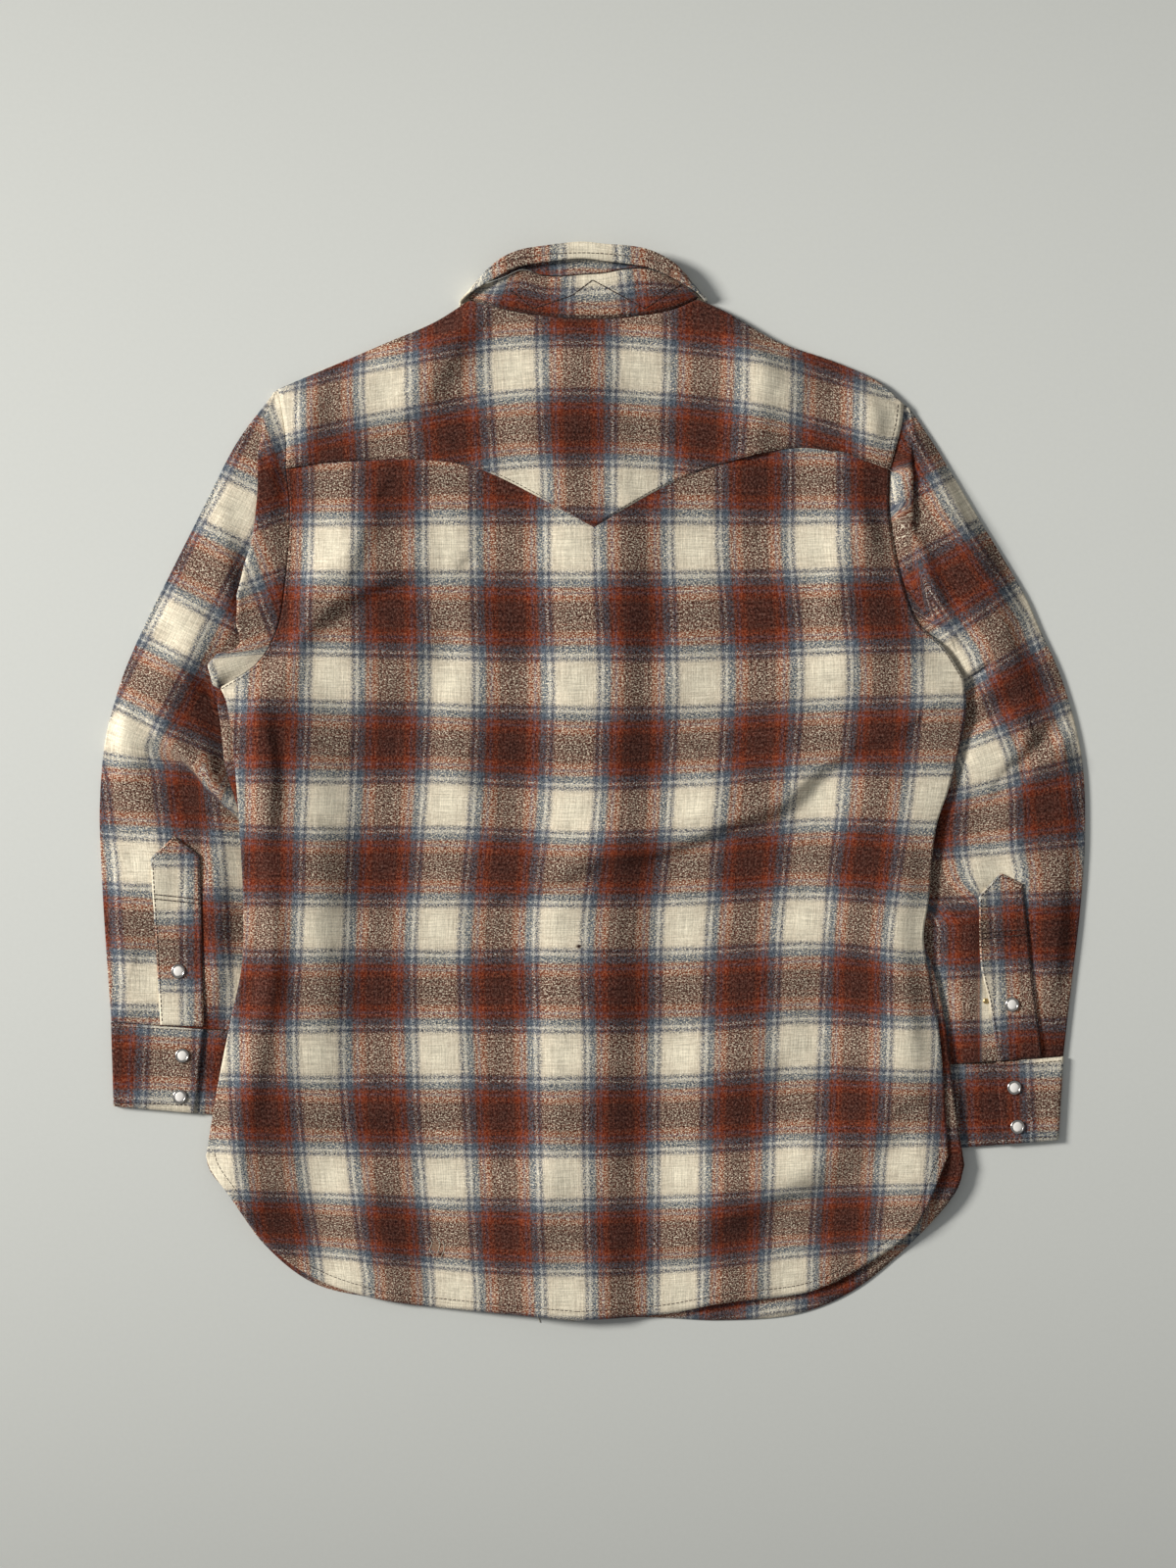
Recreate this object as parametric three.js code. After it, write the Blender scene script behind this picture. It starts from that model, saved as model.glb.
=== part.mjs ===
import * as THREE from 'three';

// Western snap shirt laid face down, millimetres. x runs to the right, y towards the collar, z up
// from the surface it lies on. Each outline row is one point, read round the piece in order.

// driving sizes
const CLOTH = 1.5;
const PLY_GAP = 0.4;
const SEAM_GAP = 0.3;
const PLY = CLOTH + PLY_GAP;
const SLEEVE_TOP = PLY + CLOTH;
const SIDE_LIFT = SLEEVE_TOP + PLY_GAP;
const NECK_LIFT = 2;
const SNAP_LIFT = 3.7;
const BAND_CLOTH = 1.2;
const PLACKET_CLOTH = 1.2;
const BAND_HALF_WIDTH = 18;
const COLLAR_CENTRE = -6.5;
const SNAP_RADIUS = 5.75;
const PEARL_RADIUS = 3.7;
const SNAP_SIDES = 16;

// where the body's layers slope up over the sleeves, the collar's fall, the snap band and the lap
const SIDE_SLOPE = { from: 34, to: 95 };
const ARMHOLE_SLOPE = { from: 80, to: 260 };
const ARMHOLE_EASE = 0.75;
const NECK_SLOPE = { from: 228, to: 258 };
const NECK_REACH = { from: 106, to: 150 };
const BAND_END = { from: 235, to: 262 };
const LAP_END = { from: 316, to: 345 };
const BACK_SLOPE = 38;
const BACK_SIDE_SHARE = 0.2;
const BACK_EASE = 0.15;
const BACK_FOLD_LIMIT = 2.8;

// sleeve section: share of the way to the cap's fold, how far it has risen there, and what is left past it
const CAP_MIDDLE = 0.45;
const CAP_MIDDLE_RISE = 0.7;
const CAP_FOOT_RISE = 0.12;
const PLAIN_FOLD = { at: 26, rise: 0 };

// stand and leaf
const NECK_EASE = SEAM_GAP + 0.2;
const STAND_TAPER = 0.12;
const STAND_AIM = 420;
const STAND_FRONT = 30;
const UNDERLAP = 30;

// mesh counts
const COLUMNS = 20;
const CENTRE = COLUMNS / 2;
const NECK_START = 5;
const NECK_END = 15;
const SIDE_ROWS = 10;
const ARMHOLE_ROWS = 6;
const YOKE_ROWS = 4;
const UNDERARM = SIDE_ROWS;
const YOKE_ROW = SIDE_ROWS + ARMHOLE_ROWS;
const TUBE_ROWS = 9;

const points = (rows) => rows.map(([x, y]) => ({ x, y }));

// outlines of the back, columns x and y
const SIDE_LEFT = points([
  [-301, -291], [-292, -237], [-282, -186], [-273, -141], [-272, -99], [-274, -51], [-278, 5],
  [-285, 62], [-290, 74],
]);
const SIDE_RIGHT = points([
  [277, -291], [274, -239], [270, -193], [265, -162], [258, -121], [262, -91], [268, -34],
  [278, -3], [291, 55], [289, 82],
]);
const ARMHOLE_LEFT = points([[-290, 74], [-262, 92], [-246, 118], [-239, 160], [-236, 213], [-239, 245]]);
const ARMHOLE_RIGHT = points([[289, 82], [274, 105], [254, 124], [242, 154], [232, 206], [232, 244]]);
const YOKE_END_LEFT = points([[-239, 245], [-239, 267], [-245, 307]]);
const YOKE_END_RIGHT = points([[232, 244], [241, 279], [243, 295]]);
const YOKE_EDGE_LEFT = points([[-239, 245], [-207, 249], [-157, 252], [-115, 250], [-82, 242], [1, 199]]);
const YOKE_EDGE_RIGHT = points([[1, 199], [61, 233], [117, 253], [164, 261], [199, 255], [232, 244]]);
const SHOULDER_LEFT = points([[-245, 307], [-196, 328], [-158, 344], [-123, 359], [-96, 376]]);
const SHOULDER_RIGHT = points([[82, 377], [104, 367], [144, 344], [190, 328], [224, 312], [243, 295]]);
const NECK = points([[-96, 376], [-72, 369], [-38, 363], [-3, 361], [35, 363], [65, 369], [82, 377]]);
const HEM_LEFT = points([
  [-301, -291], [-298, -300], [-283, -321], [-255, -359], [-218, -386], [-167, -403], [-95, -412],
  [-12, -419],
]);
const HEM_RIGHT = points([
  [-12, -419], [54, -415], [103, -406], [171, -397], [214, -376], [251, -347], [277, -291],
]);

// outlines of the fronts where they differ from the back
const FRONT_HEM_LEFT = points([
  [-301, -291], [-299, -301], [-283, -322], [-256, -361], [-218, -391], [-167, -403], [-95, -412],
  [-12, -417],
]);
const FRONT_HEM_RIGHT = points([
  [-12, -417], [54, -418], [99, -420], [160, -415], [202, -398], [241, -367], [284, -318], [290, -298],
]);
const FRONT_SIDE_RIGHT = points([
  [290, -298], [285, -267], [281, -239], [278, -211], [275, -187], [267, -150], [258, -121],
]);
const FRONT_NECK = points([
  [-96, 376], [-90, 346], [-70, 313], [-40, 291], [-6, 283], [27, 291], [57, 313], [76, 346], [82, 377],
]);

// outer fold of each sleeve from the shoulder to the cuff, and its seam under the body's edge
const SLEEVES = {
  left: {
    cap: points([[-356, 110], [-347, 129], [-324, 175], [-301, 221], [-277, 267], [-249, 304]]),
    outer: points([
      [-356, 110], [-367, 83], [-380, 37], [-385, -16], [-384, -62], [-381, -116], [-376, -186.5],
    ]),
    seam: points([
      [-281, 49], [-272, 14], [-265, -24], [-260, -62], [-259, -101], [-262, -139], [-271, -166],
      [-280, -194],
    ]),
    // rows from underarm to shoulder: distance of the fold from the armhole and its rise
    folds: [
      { at: 26, rise: 0.4 }, { at: 24, rise: 1.6 }, { at: 27, rise: 2.3 }, { at: 30, rise: 2.6 },
      { at: 31, rise: 2.6 }, { at: 30, rise: 2.6 }, { at: 26, rise: 2.6 }, { at: 25, rise: 2.2 },
      { at: 21, rise: 1.6 }, { at: 13, rise: 1 }, { at: 3, rise: 0 },
    ],
  },
  right: {
    cap: points([[349, 121], [339, 144], [321, 175], [302, 206], [284, 236], [265, 267], [248, 292]]),
    outer: points([[349, 121], [366, 83], [382, 22], [385, -39], [381, -101], [374, -161], [368, -213.5]]),
    seam: points([
      [282, 55], [267, -3], [258, -34], [252, -91], [249, -121], [255, -162], [263, -193], [271, -220.5],
    ]),
    folds: [
      { at: 24, rise: 0.3 }, { at: 24, rise: 0.8 }, { at: 24, rise: 1.2 }, { at: 22, rise: 1.6 },
      { at: 20, rise: 2 }, { at: 18, rise: 2.2 }, { at: 16, rise: 1.8 }, { at: 14, rise: 1.2 },
      { at: 10, rise: 0.6 }, { at: 6, rise: 0.2 }, { at: 3, rise: 0 },
    ],
  },
};

// cuffs: corners of the flat cuff, the edge that laps on top, and the two snaps
const CUFFS = {
  left: {
    top: { outer: [-376, -187], lap: [-303, -191], inner: [-280, -194.5] },
    bottom: { outer: [-374, -252.5], lap: [-310, -255], inner: [-288, -260] },
    snaps: [[-320, -213], [-322, -245]],
  },
  right: {
    top: { outer: [368, -214], lap: [315, -218.5], inner: [271, -221] },
    bottom: { outer: [364, -279], lap: [320, -281.5], inner: [278, -286] },
    snaps: [[329, -238], [331.5, -268.5]],
  },
};

// sleeve plackets: pointed strips, and the snap on each
const PLACKETS = {
  left: {
    outline: points([[-303, -190.2], [-337, -189], [-344, -59], [-326, -42], [-306, -57]]),
    snap: [-323, -147],
  },
  right: {
    outline: points([
      [317, -217], [309, -170], [303, -144], [301, -88], [318, -70.5], [335, -79], [344, -160], [351, -215],
    ]),
    snap: [327, -173],
  },
};

// soft ridges of the back: from one end to the other, half width and rise
const BACK_FOLDS = [
  { x1: 226, y1: 30, x2: 70, y2: -52, width: 30, rise: 2.6 },
  { x1: 70, y1: -52, x2: -20, y2: -68, width: 26, rise: 1.6 },
  { x1: -178, y1: 205, x2: -225, y2: 140, width: 26, rise: 1.4 },
  { x1: 205, y1: -290, x2: 70, y2: -345, width: 34, rise: 1.8 },
  { x1: -205, y1: 40, x2: -195, y2: -260, width: 34, rise: 1.2 },
  { x1: 250, y1: -60, x2: 262, y2: -250, width: 26, rise: 1 },
];

// stand above the neck seam at the back and above the front neck: height in plan by column
const STAND_BACK = [15, 25, 31, 31, 33, 35, 33, 31, 31, 25, 15];
const NECK_TURN = [0.25, 0.5, 0.75];

// collar leaf, one row for each section from the centre front round the neck side to the centre back.
// Each entry is a place on the section: distance past the stand's top edge, distance outward, height.
// Columns: sewn edge, roll, turn, middle and free edge
const LEAF = [
  [[0.9, 2, 2.75], [2.5, 2, 1.8], [0.8, 3, 0.75], [-22, 20, 0.75], [-52, 40, 0.75]],
  [[0.9, 0, 2.75], [2.5, 0, 1.8], [0.8, 1, 0.75], [-20, 24, 0.75], [-44, 48, 0.75]],
  [[0.9, 0, 2.75], [2.5, 0, 1.8], [0.8, 1, 0.75], [-12, 22, 0.75], [-26, 45, 0.75]],
  [[0.9, 0, 2.75], [2.5, 0, 1.8], [0.8, 1, 0.75], [-6, 20, 0.75], [-12, 42, 0.75]],
  [[0.9, 0, 2.75], [2.5, 0, 1.8], [0.8, 1, 0.75], [-7, 15, 0.75], [-14, 31, 0.75]],
  [[0.9, 0.4, 2.75], [2.3, 1.2, 1.9], [0.6, 3, 0.75], [-10, 4.4, 0.75], [-22, 3.5, 0.75]],
  [[0.9, 1.9, 3.3], [2.3, 2.9, 2.9], [-1, 3.7, 2.7], [-8, 3.9, 2.6], [-18.5, 4.4, 2.2]],
  [[0.9, 2.5, 4.6], [2.3, 3.5, 4.4], [-1, 4.3, 4.4], [-8, 4.4, 4.4], [-17.5, 4.8, 4.2]],
  [[0.9, 1.9, 5.5], [2.8, 3.5, 5.3], [0, 4.6, 5.4], [-5, 4.8, 5.8], [-14, 4.8, 6.4]],
  [[0.9, 0.8, 6.3], [3.5, 3.5, 5.8], [3.5, 5.4, 6], [1, 6.3, 7], [-10, 3.9, 8.6]],
  [[0.9, 0.5, 6.4], [5, 4, 5.4], [8, 9, 5.6], [8.4, 12.5, 7.4], [5, 3, 9.7]],
  [[0.9, 0, 6.4], [6, 3, 5], [11, 9, 5.4], [13.5, 12, 8], [5.5, 6.5, 10.2]],
  [[0.9, 0, 6.4], [8, 2, 4.6], [17, 6, 5.4], [21.5, 8, 8.2], [10.5, 2.8, 10.4]],
  [[0.9, 0, 6.4], [9, 1, 4.6], [19, 3, 5.4], [24, 4, 8.2], [12, 1.5, 10.4]],
  [[0.9, 0, 6.4], [8, 0, 4.6], [18, 0, 5.4], [23.3, 0, 8.2], [11, 0, 10.4]],
];
const LEAF_POINTS = 9;

const FRONT_SNAPS = 7;
const FRONT_SNAP_TOP = 205;
const FRONT_SNAP_PITCH = 88;

const vec = (x, y, z = 0) => new THREE.Vector3(x, y, z);
const smooth = (low, high, value) => THREE.MathUtils.smoothstep(value, low, high);
const slope = ({ from, to }, value, wider = 0) => smooth(from + wider, to + wider, value);

function fabric(color) {
  return new THREE.MeshStandardMaterial({ color, roughness: 0.95, metalness: 0 });
}

const WOOL = fabric('#7c4a3a');
const WOOL_LIGHT = fabric('#a98f78');
const CHROME = new THREE.MeshStandardMaterial({ color: '#b9b9b6', roughness: 0.25, metalness: 1 });
const PEARL = new THREE.MeshStandardMaterial({ color: '#d9d6cf', roughness: 0.3, metalness: 0 });

// a smooth curve through a table's points, sampled at fractions of its length
function sample(rows, fractions) {
  const curve = new THREE.CatmullRomCurve3(rows.map(({ x, y }) => vec(x, y)), false, 'centripetal');
  curve.arcLengthDivisions = 400;
  return fractions.map((fraction) => curve.getPointAt(fraction));
}

function even(count) {
  return Array.from({ length: count + 1 }, (_, i) => i / count);
}

// even fractions with one narrow step of the given length at the end
function narrowEnd(count, length, step) {
  const wide = (length - step) / (count - 1) / length;
  return Array.from({ length: count + 1 }, (_, i) => (i === count ? 1 : i * wide));
}

function lengthOf(rows) {
  return new THREE.CatmullRomCurve3(rows.map(({ x, y }) => vec(x, y)), false, 'centripetal').getLength();
}

// an edge in two halves that meet at the centre, with a narrow step either side of it
function halves(left, right) {
  const sampled = (rows) => sample(rows, narrowEnd(CENTRE, lengthOf(rows), BAND_HALF_WIDTH));
  return [...sampled(left), ...sampled([...right].reverse()).reverse().slice(1)];
}

// a patch between four edges that share their corners
function patch(bottom, top, left, right) {
  return left.map((_, row) => bottom.map((__, column) => {
    const u = column / (bottom.length - 1);
    const v = row / (left.length - 1);
    const ruled = bottom[column].clone().lerp(top[column], v);
    const crossed = left[row].clone().lerp(right[row], u);
    const low = bottom[0].clone().lerp(bottom[bottom.length - 1], u);
    const high = top[0].clone().lerp(top[top.length - 1], u);
    return ruled.add(crossed).sub(low.lerp(high, v));
  }));
}

// plan of a body layer: rows from hem to shoulder, columns from left to right
function bodyPlan(hem, neck) {
  const side = [even(SIDE_ROWS), even(ARMHOLE_ROWS)];
  const left = [...sample(SIDE_LEFT, side[0]), ...sample(ARMHOLE_LEFT, side[1]).slice(1)];
  const right = [...sample(SIDE_RIGHT, side[0]), ...sample(ARMHOLE_RIGHT, side[1]).slice(1)];
  const bottom = halves(...hem);
  bottom[0] = left[0].clone();
  bottom[COLUMNS] = right[0].clone();
  const middle = halves(YOKE_EDGE_LEFT, YOKE_EDGE_RIGHT);
  const top = [
    ...sample(SHOULDER_LEFT, even(NECK_START)),
    ...sample(neck, even(NECK_END - NECK_START)).slice(1),
    ...sample(SHOULDER_RIGHT, even(COLUMNS - NECK_END)).slice(1),
  ];
  const lower = patch(bottom, middle, left, right);
  const ends = [sample(YOKE_END_LEFT, even(YOKE_ROWS)), sample(YOKE_END_RIGHT, even(YOKE_ROWS))];
  const upper = patch(middle, top, ends[0], ends[1]);
  return [...lower, ...upper.slice(1)];
}

const backPlan = bodyPlan([HEM_LEFT, HEM_RIGHT], NECK);
const frontPlan = bodyPlan([FRONT_HEM_LEFT, FRONT_HEM_RIGHT], FRONT_NECK);

// the front's side seam swings out past the back's at the lower right
frontPlan.forEach((row) => {
  const edge = row[COLUMNS];
  const curve = sample(FRONT_SIDE_RIGHT, even(60));
  if (edge.y > FRONT_SIDE_RIGHT[FRONT_SIDE_RIGHT.length - 1].y) return;
  const off = (p) => Math.abs(p.y - edge.y);
  const nearest = curve.reduce((best, p) => (off(p) < off(best) ? p : best));
  edge.x = Math.max(edge.x, nearest.x);
});

const besideCentre = (column, reach = 1) => Math.abs(column - CENTRE) <= reach;

function distanceToSide(plan, point, column) {
  return Math.min(...plan.slice(0, YOKE_ROW).map((row) => row[column].distanceTo(point)));
}

// height of the underside of the fronts over sleeves, snaps and the collar's fall. The back follows
// the same rises with wider slopes, so that the layers stay apart
function lift(plan, row, column, wider = 0) {
  const point = plan[row][column];
  const nearest = Math.min(distanceToSide(plan, point, 0), distanceToSide(plan, point, COLUMNS));
  const overArmhole = 1 - ARMHOLE_EASE * slope(ARMHOLE_SLOPE, point.y);
  const side = SIDE_LIFT * overArmhole * (1 - slope(SIDE_SLOPE, nearest, wider * BACK_SIDE_SHARE));
  const out = Math.abs(point.x - COLLAR_CENTRE);
  const neck = NECK_LIFT * slope(NECK_SLOPE, point.y, -wider) * (1 - slope(NECK_REACH, out, wider));
  const snaps = besideCentre(column) ? SNAP_LIFT * (1 - slope(BAND_END, point.y, wider)) : 0;
  return Math.max(side, neck, snaps);
}

function ridge({ x1, y1, x2, y2, width, rise }, point) {
  const along = vec(x2 - x1, y2 - y1);
  const from = vec(point.x - x1, point.y - y1);
  const share = THREE.MathUtils.clamp(from.dot(along) / along.lengthSq(), 0, 1);
  const distance = from.sub(along.multiplyScalar(share)).length();
  return rise * Math.exp(-((distance / width) ** 2));
}

// heights of the back's underside, above both fronts where they lap
function backHeight(row, column) {
  const point = backPlan[row][column];
  const lapped = besideCentre(column, row > YOKE_ROW ? 2 : 1) ? PLY * (1 - slope(LAP_END, point.y)) : 0;
  const folds = BACK_FOLDS.reduce((sum, fold) => sum + ridge(fold, point), 0);
  const settled = row < YOKE_ROW ? smooth(0, 2, column) * smooth(0, 2, COLUMNS - column) : 0;
  const base = lift(backPlan, row, column, BACK_SLOPE) + PLY + BACK_EASE + lapped;
  return base + Math.min(folds, BACK_FOLD_LIMIT) * settled;
}

// closed wall between an outer and an inner sheet of points
function wall(outer, inner) {
  const rows = outer.length;
  const columns = outer[0].length;
  const positions = [outer, inner].flat(2).flatMap((p) => [p.x, p.y, p.z]);
  const at = (sheet, row, column) => (sheet * rows + row) * columns + column;
  const index = [];
  const quad = (a, b, c, d) => index.push(a, b, c, a, c, d);
  for (let r = 0; r < rows - 1; r += 1) {
    for (let c = 0; c < columns - 1; c += 1) {
      quad(at(0, r, c), at(0, r, c + 1), at(0, r + 1, c + 1), at(0, r + 1, c));
      quad(at(1, r, c), at(1, r + 1, c), at(1, r + 1, c + 1), at(1, r, c + 1));
    }
    quad(at(0, r, 0), at(0, r + 1, 0), at(1, r + 1, 0), at(1, r, 0));
    const c = columns - 1;
    quad(at(1, r, c), at(1, r + 1, c), at(0, r + 1, c), at(0, r, c));
  }
  for (let c = 0; c < columns - 1; c += 1) {
    const r = rows - 1;
    quad(at(1, 0, c), at(1, 0, c + 1), at(0, 0, c + 1), at(0, 0, c));
    quad(at(0, r, c), at(0, r, c + 1), at(1, r, c + 1), at(1, r, c));
  }
  return facingOut(positions, index);
}

function facingOut(positions, index) {
  let volume = 0;
  for (let i = 0; i < index.length; i += 3) {
    const [a, b, c] = [0, 1, 2].map((k) => vec(...positions.slice(index[i + k] * 3, index[i + k] * 3 + 3)));
    volume += a.dot(b.cross(c));
  }
  const geometry = new THREE.BufferGeometry();
  geometry.setAttribute('position', new THREE.Float32BufferAttribute(positions, 3));
  geometry.setIndex(volume < 0 ? index.reverse() : index);
  geometry.computeVertexNormals();
  return geometry;
}

const raise = (sheet, height) => sheet.map((row) => row.map((p) => vec(p.x, p.y, p.z + height)));
const cut = (sheet, rowFrom, rowTo, from, to) => (
  sheet.slice(rowFrom, rowTo + 1).map((row) => row.slice(from, to + 1)));

function sheetAt(plan, height) {
  return plan.map((row, r) => row.map((p, c) => vec(p.x, p.y, height(r, c))));
}

const shirt = new THREE.Group();

function add(name, geometry, material) {
  const mesh = new THREE.Mesh(geometry, material);
  mesh.name = name;
  shirt.add(mesh);
  return mesh;
}

function addPanel(name, underside, thickness, material) {
  return add(name, wall(raise(underside, thickness), underside), material);
}

// body: two fronts that lap at the centre, the band, the back and the pointed yoke
const TOP_ROW = YOKE_ROW + YOKE_ROWS;
const frontUnder = sheetAt(frontPlan, (r, c) => lift(frontPlan, r, c));
const lappedUnder = sheetAt(frontPlan, (r, c) => lift(frontPlan, r, c) + (besideCentre(c) ? PLY : 0));
const backUnder = sheetAt(backPlan, backHeight);

function addBody() {
  addPanel('front_left', cut(frontUnder, 0, TOP_ROW, 0, CENTRE + 1), CLOTH, WOOL);
  addPanel('front_right', cut(lappedUnder, 0, TOP_ROW, CENTRE - 1, COLUMNS), CLOTH, WOOL);
  const band = raise(cut(frontUnder, 0, TOP_ROW - 1, CENTRE - 1, CENTRE + 1), -BAND_CLOTH - SEAM_GAP);
  addPanel('front_band', band, BAND_CLOTH, WOOL_LIGHT);
  addPanel('back', backUnder, CLOTH, WOOL);
  addPanel('yoke', raise(cut(backUnder, YOKE_ROW, TOP_ROW, 0, COLUMNS), CLOTH + SEAM_GAP), CLOTH, WOOL);
}

// ribbon wall round a row of flat points (u along the row, z up)
function ribbonSection(path, thickness) {
  return path.map((p, i) => {
    const before = path[Math.max(i - 1, 0)];
    const after = path[Math.min(i + 1, path.length - 1)];
    const length = Math.hypot(after.u - before.u, after.z - before.z);
    const normal = { u: -(after.z - before.z) / length, z: (after.u - before.u) / length };
    const half = thickness / 2;
    return {
      outer: { u: p.u + normal.u * half, z: p.z + normal.z * half },
      inner: { u: p.u - normal.u * half, z: p.z - normal.z * half },
    };
  });
}

// half turn of a fold: from one height to another at the given place, bulging towards u
function halfTurn(u, zFrom, zTo, towards, steps = 4) {
  const radius = Math.abs(zFrom - zTo) / 2;
  const middle = (zFrom + zTo) / 2;
  const sign = Math.sign(zFrom - zTo);
  return Array.from({ length: steps + 1 }, (_, i) => {
    const angle = (Math.PI * i) / steps;
    return { u: u + towards * radius * Math.sin(angle), z: middle + sign * radius * Math.cos(angle) };
  });
}

const UPPER = PLY + CLOTH / 2;
const LOWER = CLOTH / 2;

function placeSection(section, from, to) {
  const direction = to.clone().sub(from).setZ(0).normalize();
  const place = ({ u, z }) => vec(from.x + direction.x * u, from.y + direction.y * u, z);
  return { outer: section.map((p) => place(p.outer)), inner: section.map((p) => place(p.inner)) };
}

// one sleeve section from the armhole or underarm seam out to the fold and back underneath
function sleevePath(width, fold, seamUpper, seamLower) {
  const turn = (UPPER - LOWER) / 2 + CLOTH / 2;
  const end = width - turn;
  const at = Math.min(fold.at, end * 0.7);
  const step = Math.min(3, at * 0.3, (end - at) * 0.3);
  const top = [
    { u: 0, z: seamUpper },
    { u: at * CAP_MIDDLE, z: THREE.MathUtils.lerp(seamUpper, UPPER + fold.rise, CAP_MIDDLE_RISE) },
    { u: at - step, z: UPPER + fold.rise },
    { u: at + step, z: UPPER + fold.rise * CAP_FOOT_RISE },
    { u: THREE.MathUtils.lerp(at + step, end, 0.5), z: UPPER },
  ];
  const bottom = [
    { u: THREE.MathUtils.lerp(at, end, 0.5), z: LOWER },
    { u: at, z: LOWER },
    { u: at * CAP_MIDDLE, z: THREE.MathUtils.lerp(seamLower, LOWER, CAP_MIDDLE_RISE) },
    { u: 0, z: seamLower },
  ];
  return [...top, ...halfTurn(end, UPPER, LOWER, 1), ...bottom];
}

// outward step across the armhole at one of the back's edge points
function beyondEdge(row, column) {
  const before = backPlan[row - 1][column];
  const after = backPlan[Math.min(row + 1, TOP_ROW)][column];
  const side = column === 0 ? -1 : 1;
  const along = after.clone().sub(before).normalize();
  return vec(along.y * side, -along.x * side).multiplyScalar(SEAM_GAP + 0.1).add(backPlan[row][column]);
}

function addSleeve(side) {
  const { cap, outer, seam, folds } = SLEEVES[side];
  const column = side === 'left' ? 0 : COLUMNS;
  const sections = [];
  const capCount = TOP_ROW - UNDERARM;
  const capOuter = sample(cap, even(capCount));
  for (let k = capCount; k >= 0; k -= 1) {
    const row = UNDERARM + k;
    const joined = smooth(0, 3, k);
    const from = beyondEdge(row, column);
    const fold = folds[k];
    const backMiddle = backUnder[row][column].z + CLOTH / 2;
    const frontMiddle = frontUnder[row][column].z + CLOTH / 2;
    const width = from.distanceTo(capOuter[k]);
    const path = sleevePath(
      width,
      fold,
      THREE.MathUtils.lerp(UPPER, backMiddle, joined),
      THREE.MathUtils.lerp(LOWER, Math.min(frontMiddle, backMiddle - PLY), joined),
    );
    sections.push(placeSection(ribbonSection(path, CLOTH), from, capOuter[k]));
  }
  const under = sample([sections[sections.length - 1].outer[0], ...seam], even(TUBE_ROWS));
  const outside = sample(outer, even(TUBE_ROWS));
  for (let k = 1; k <= TUBE_ROWS; k += 1) {
    const width = under[k].distanceTo(outside[k]);
    const path = sleevePath(width, PLAIN_FOLD, UPPER, LOWER);
    sections.push(placeSection(ribbonSection(path, CLOTH), under[k], outside[k]));
  }
  add(`sleeve_${side}`, wall(sections.map((s) => s.outer), sections.map((s) => s.inner)), WOOL);
}

// cuff: lap edge on top, round the outer fold, underneath, round the inner fold to the underlap
function addCuff(side) {
  const levels = [LOWER, UPPER, UPPER + PLY];
  const { top, bottom, snaps } = CUFFS[side];
  const sections = [0, 0.5, 1].map((share) => {
    const corner = (key) => vec(...top[key]).lerp(vec(...bottom[key]), share);
    const [outerFold, lap, innerFold] = ['outer', 'lap', 'inner'].map(corner);
    const width = outerFold.distanceTo(innerFold);
    const lapAt = outerFold.distanceTo(lap);
    const wide = PLY + CLOTH / 2;
    const narrow = PLY / 2 + CLOTH / 2;
    const path = [
      { u: lapAt, z: levels[2] },
      { u: (lapAt + wide) / 2, z: levels[2] },
      ...halfTurn(wide, levels[2], levels[0], -1),
      { u: (width + wide) / 2, z: levels[0] },
      ...halfTurn(width - narrow, levels[0], levels[1], 1),
      { u: lapAt - UNDERLAP, z: levels[1] },
    ];
    return placeSection(ribbonSection(path, CLOTH), outerFold, innerFold);
  });
  add(`cuff_${side}`, wall(sections.map((s) => s.outer), sections.map((s) => s.inner)), WOOL);
  const surface = levels[2] + CLOTH / 2 + SEAM_GAP;
  snaps.forEach(([x, y], i) => addSnap(`cuff_${side}_${i + 1}`, x, y, surface));
}

function addPlacket(side) {
  const { outline, snap } = PLACKETS[side];
  const shape = new THREE.Shape(outline.map(({ x, y }) => new THREE.Vector2(x, y)));
  const geometry = new THREE.ExtrudeGeometry(shape, { depth: PLACKET_CLOTH, bevelEnabled: false });
  geometry.translate(0, 0, SLEEVE_TOP + SEAM_GAP);
  add(`placket_${side}`, geometry, WOOL_LIGHT);
  addSnap(`placket_${side}`, snap[0], snap[1], SLEEVE_TOP + PLACKET_CLOTH + 2 * SEAM_GAP);
}

// profile of radius and height turned round the upright axis
function turned(profile) {
  const shape = profile.map(([r, h]) => new THREE.Vector2(r, h));
  return new THREE.LatheGeometry(shape, SNAP_SIDES).rotateX(Math.PI / 2);
}

// pearl snap: a chrome ring and a domed pearl cap set in it
function addSnap(place, x, y, z) {
  const inside = PEARL_RADIUS + SEAM_GAP;
  const ring = [
    [inside, 0], [SNAP_RADIUS, 0], [SNAP_RADIUS, 0.9], [SNAP_RADIUS - 0.6, 1.7], [inside, 1.7], [inside, 0],
  ];
  const cap = [[0, 0], [PEARL_RADIUS, 0], [PEARL_RADIUS, 1.3], [PEARL_RADIUS * 0.7, 1.9], [0, 2.1]];
  [['ring', ring, CHROME], ['pearl', cap, PEARL]].forEach(([part, profile, material]) => {
    const geometry = turned(profile);
    geometry.translate(x, y, z);
    add(`snap_${part}_${place}`, geometry, material);
  });
}

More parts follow.
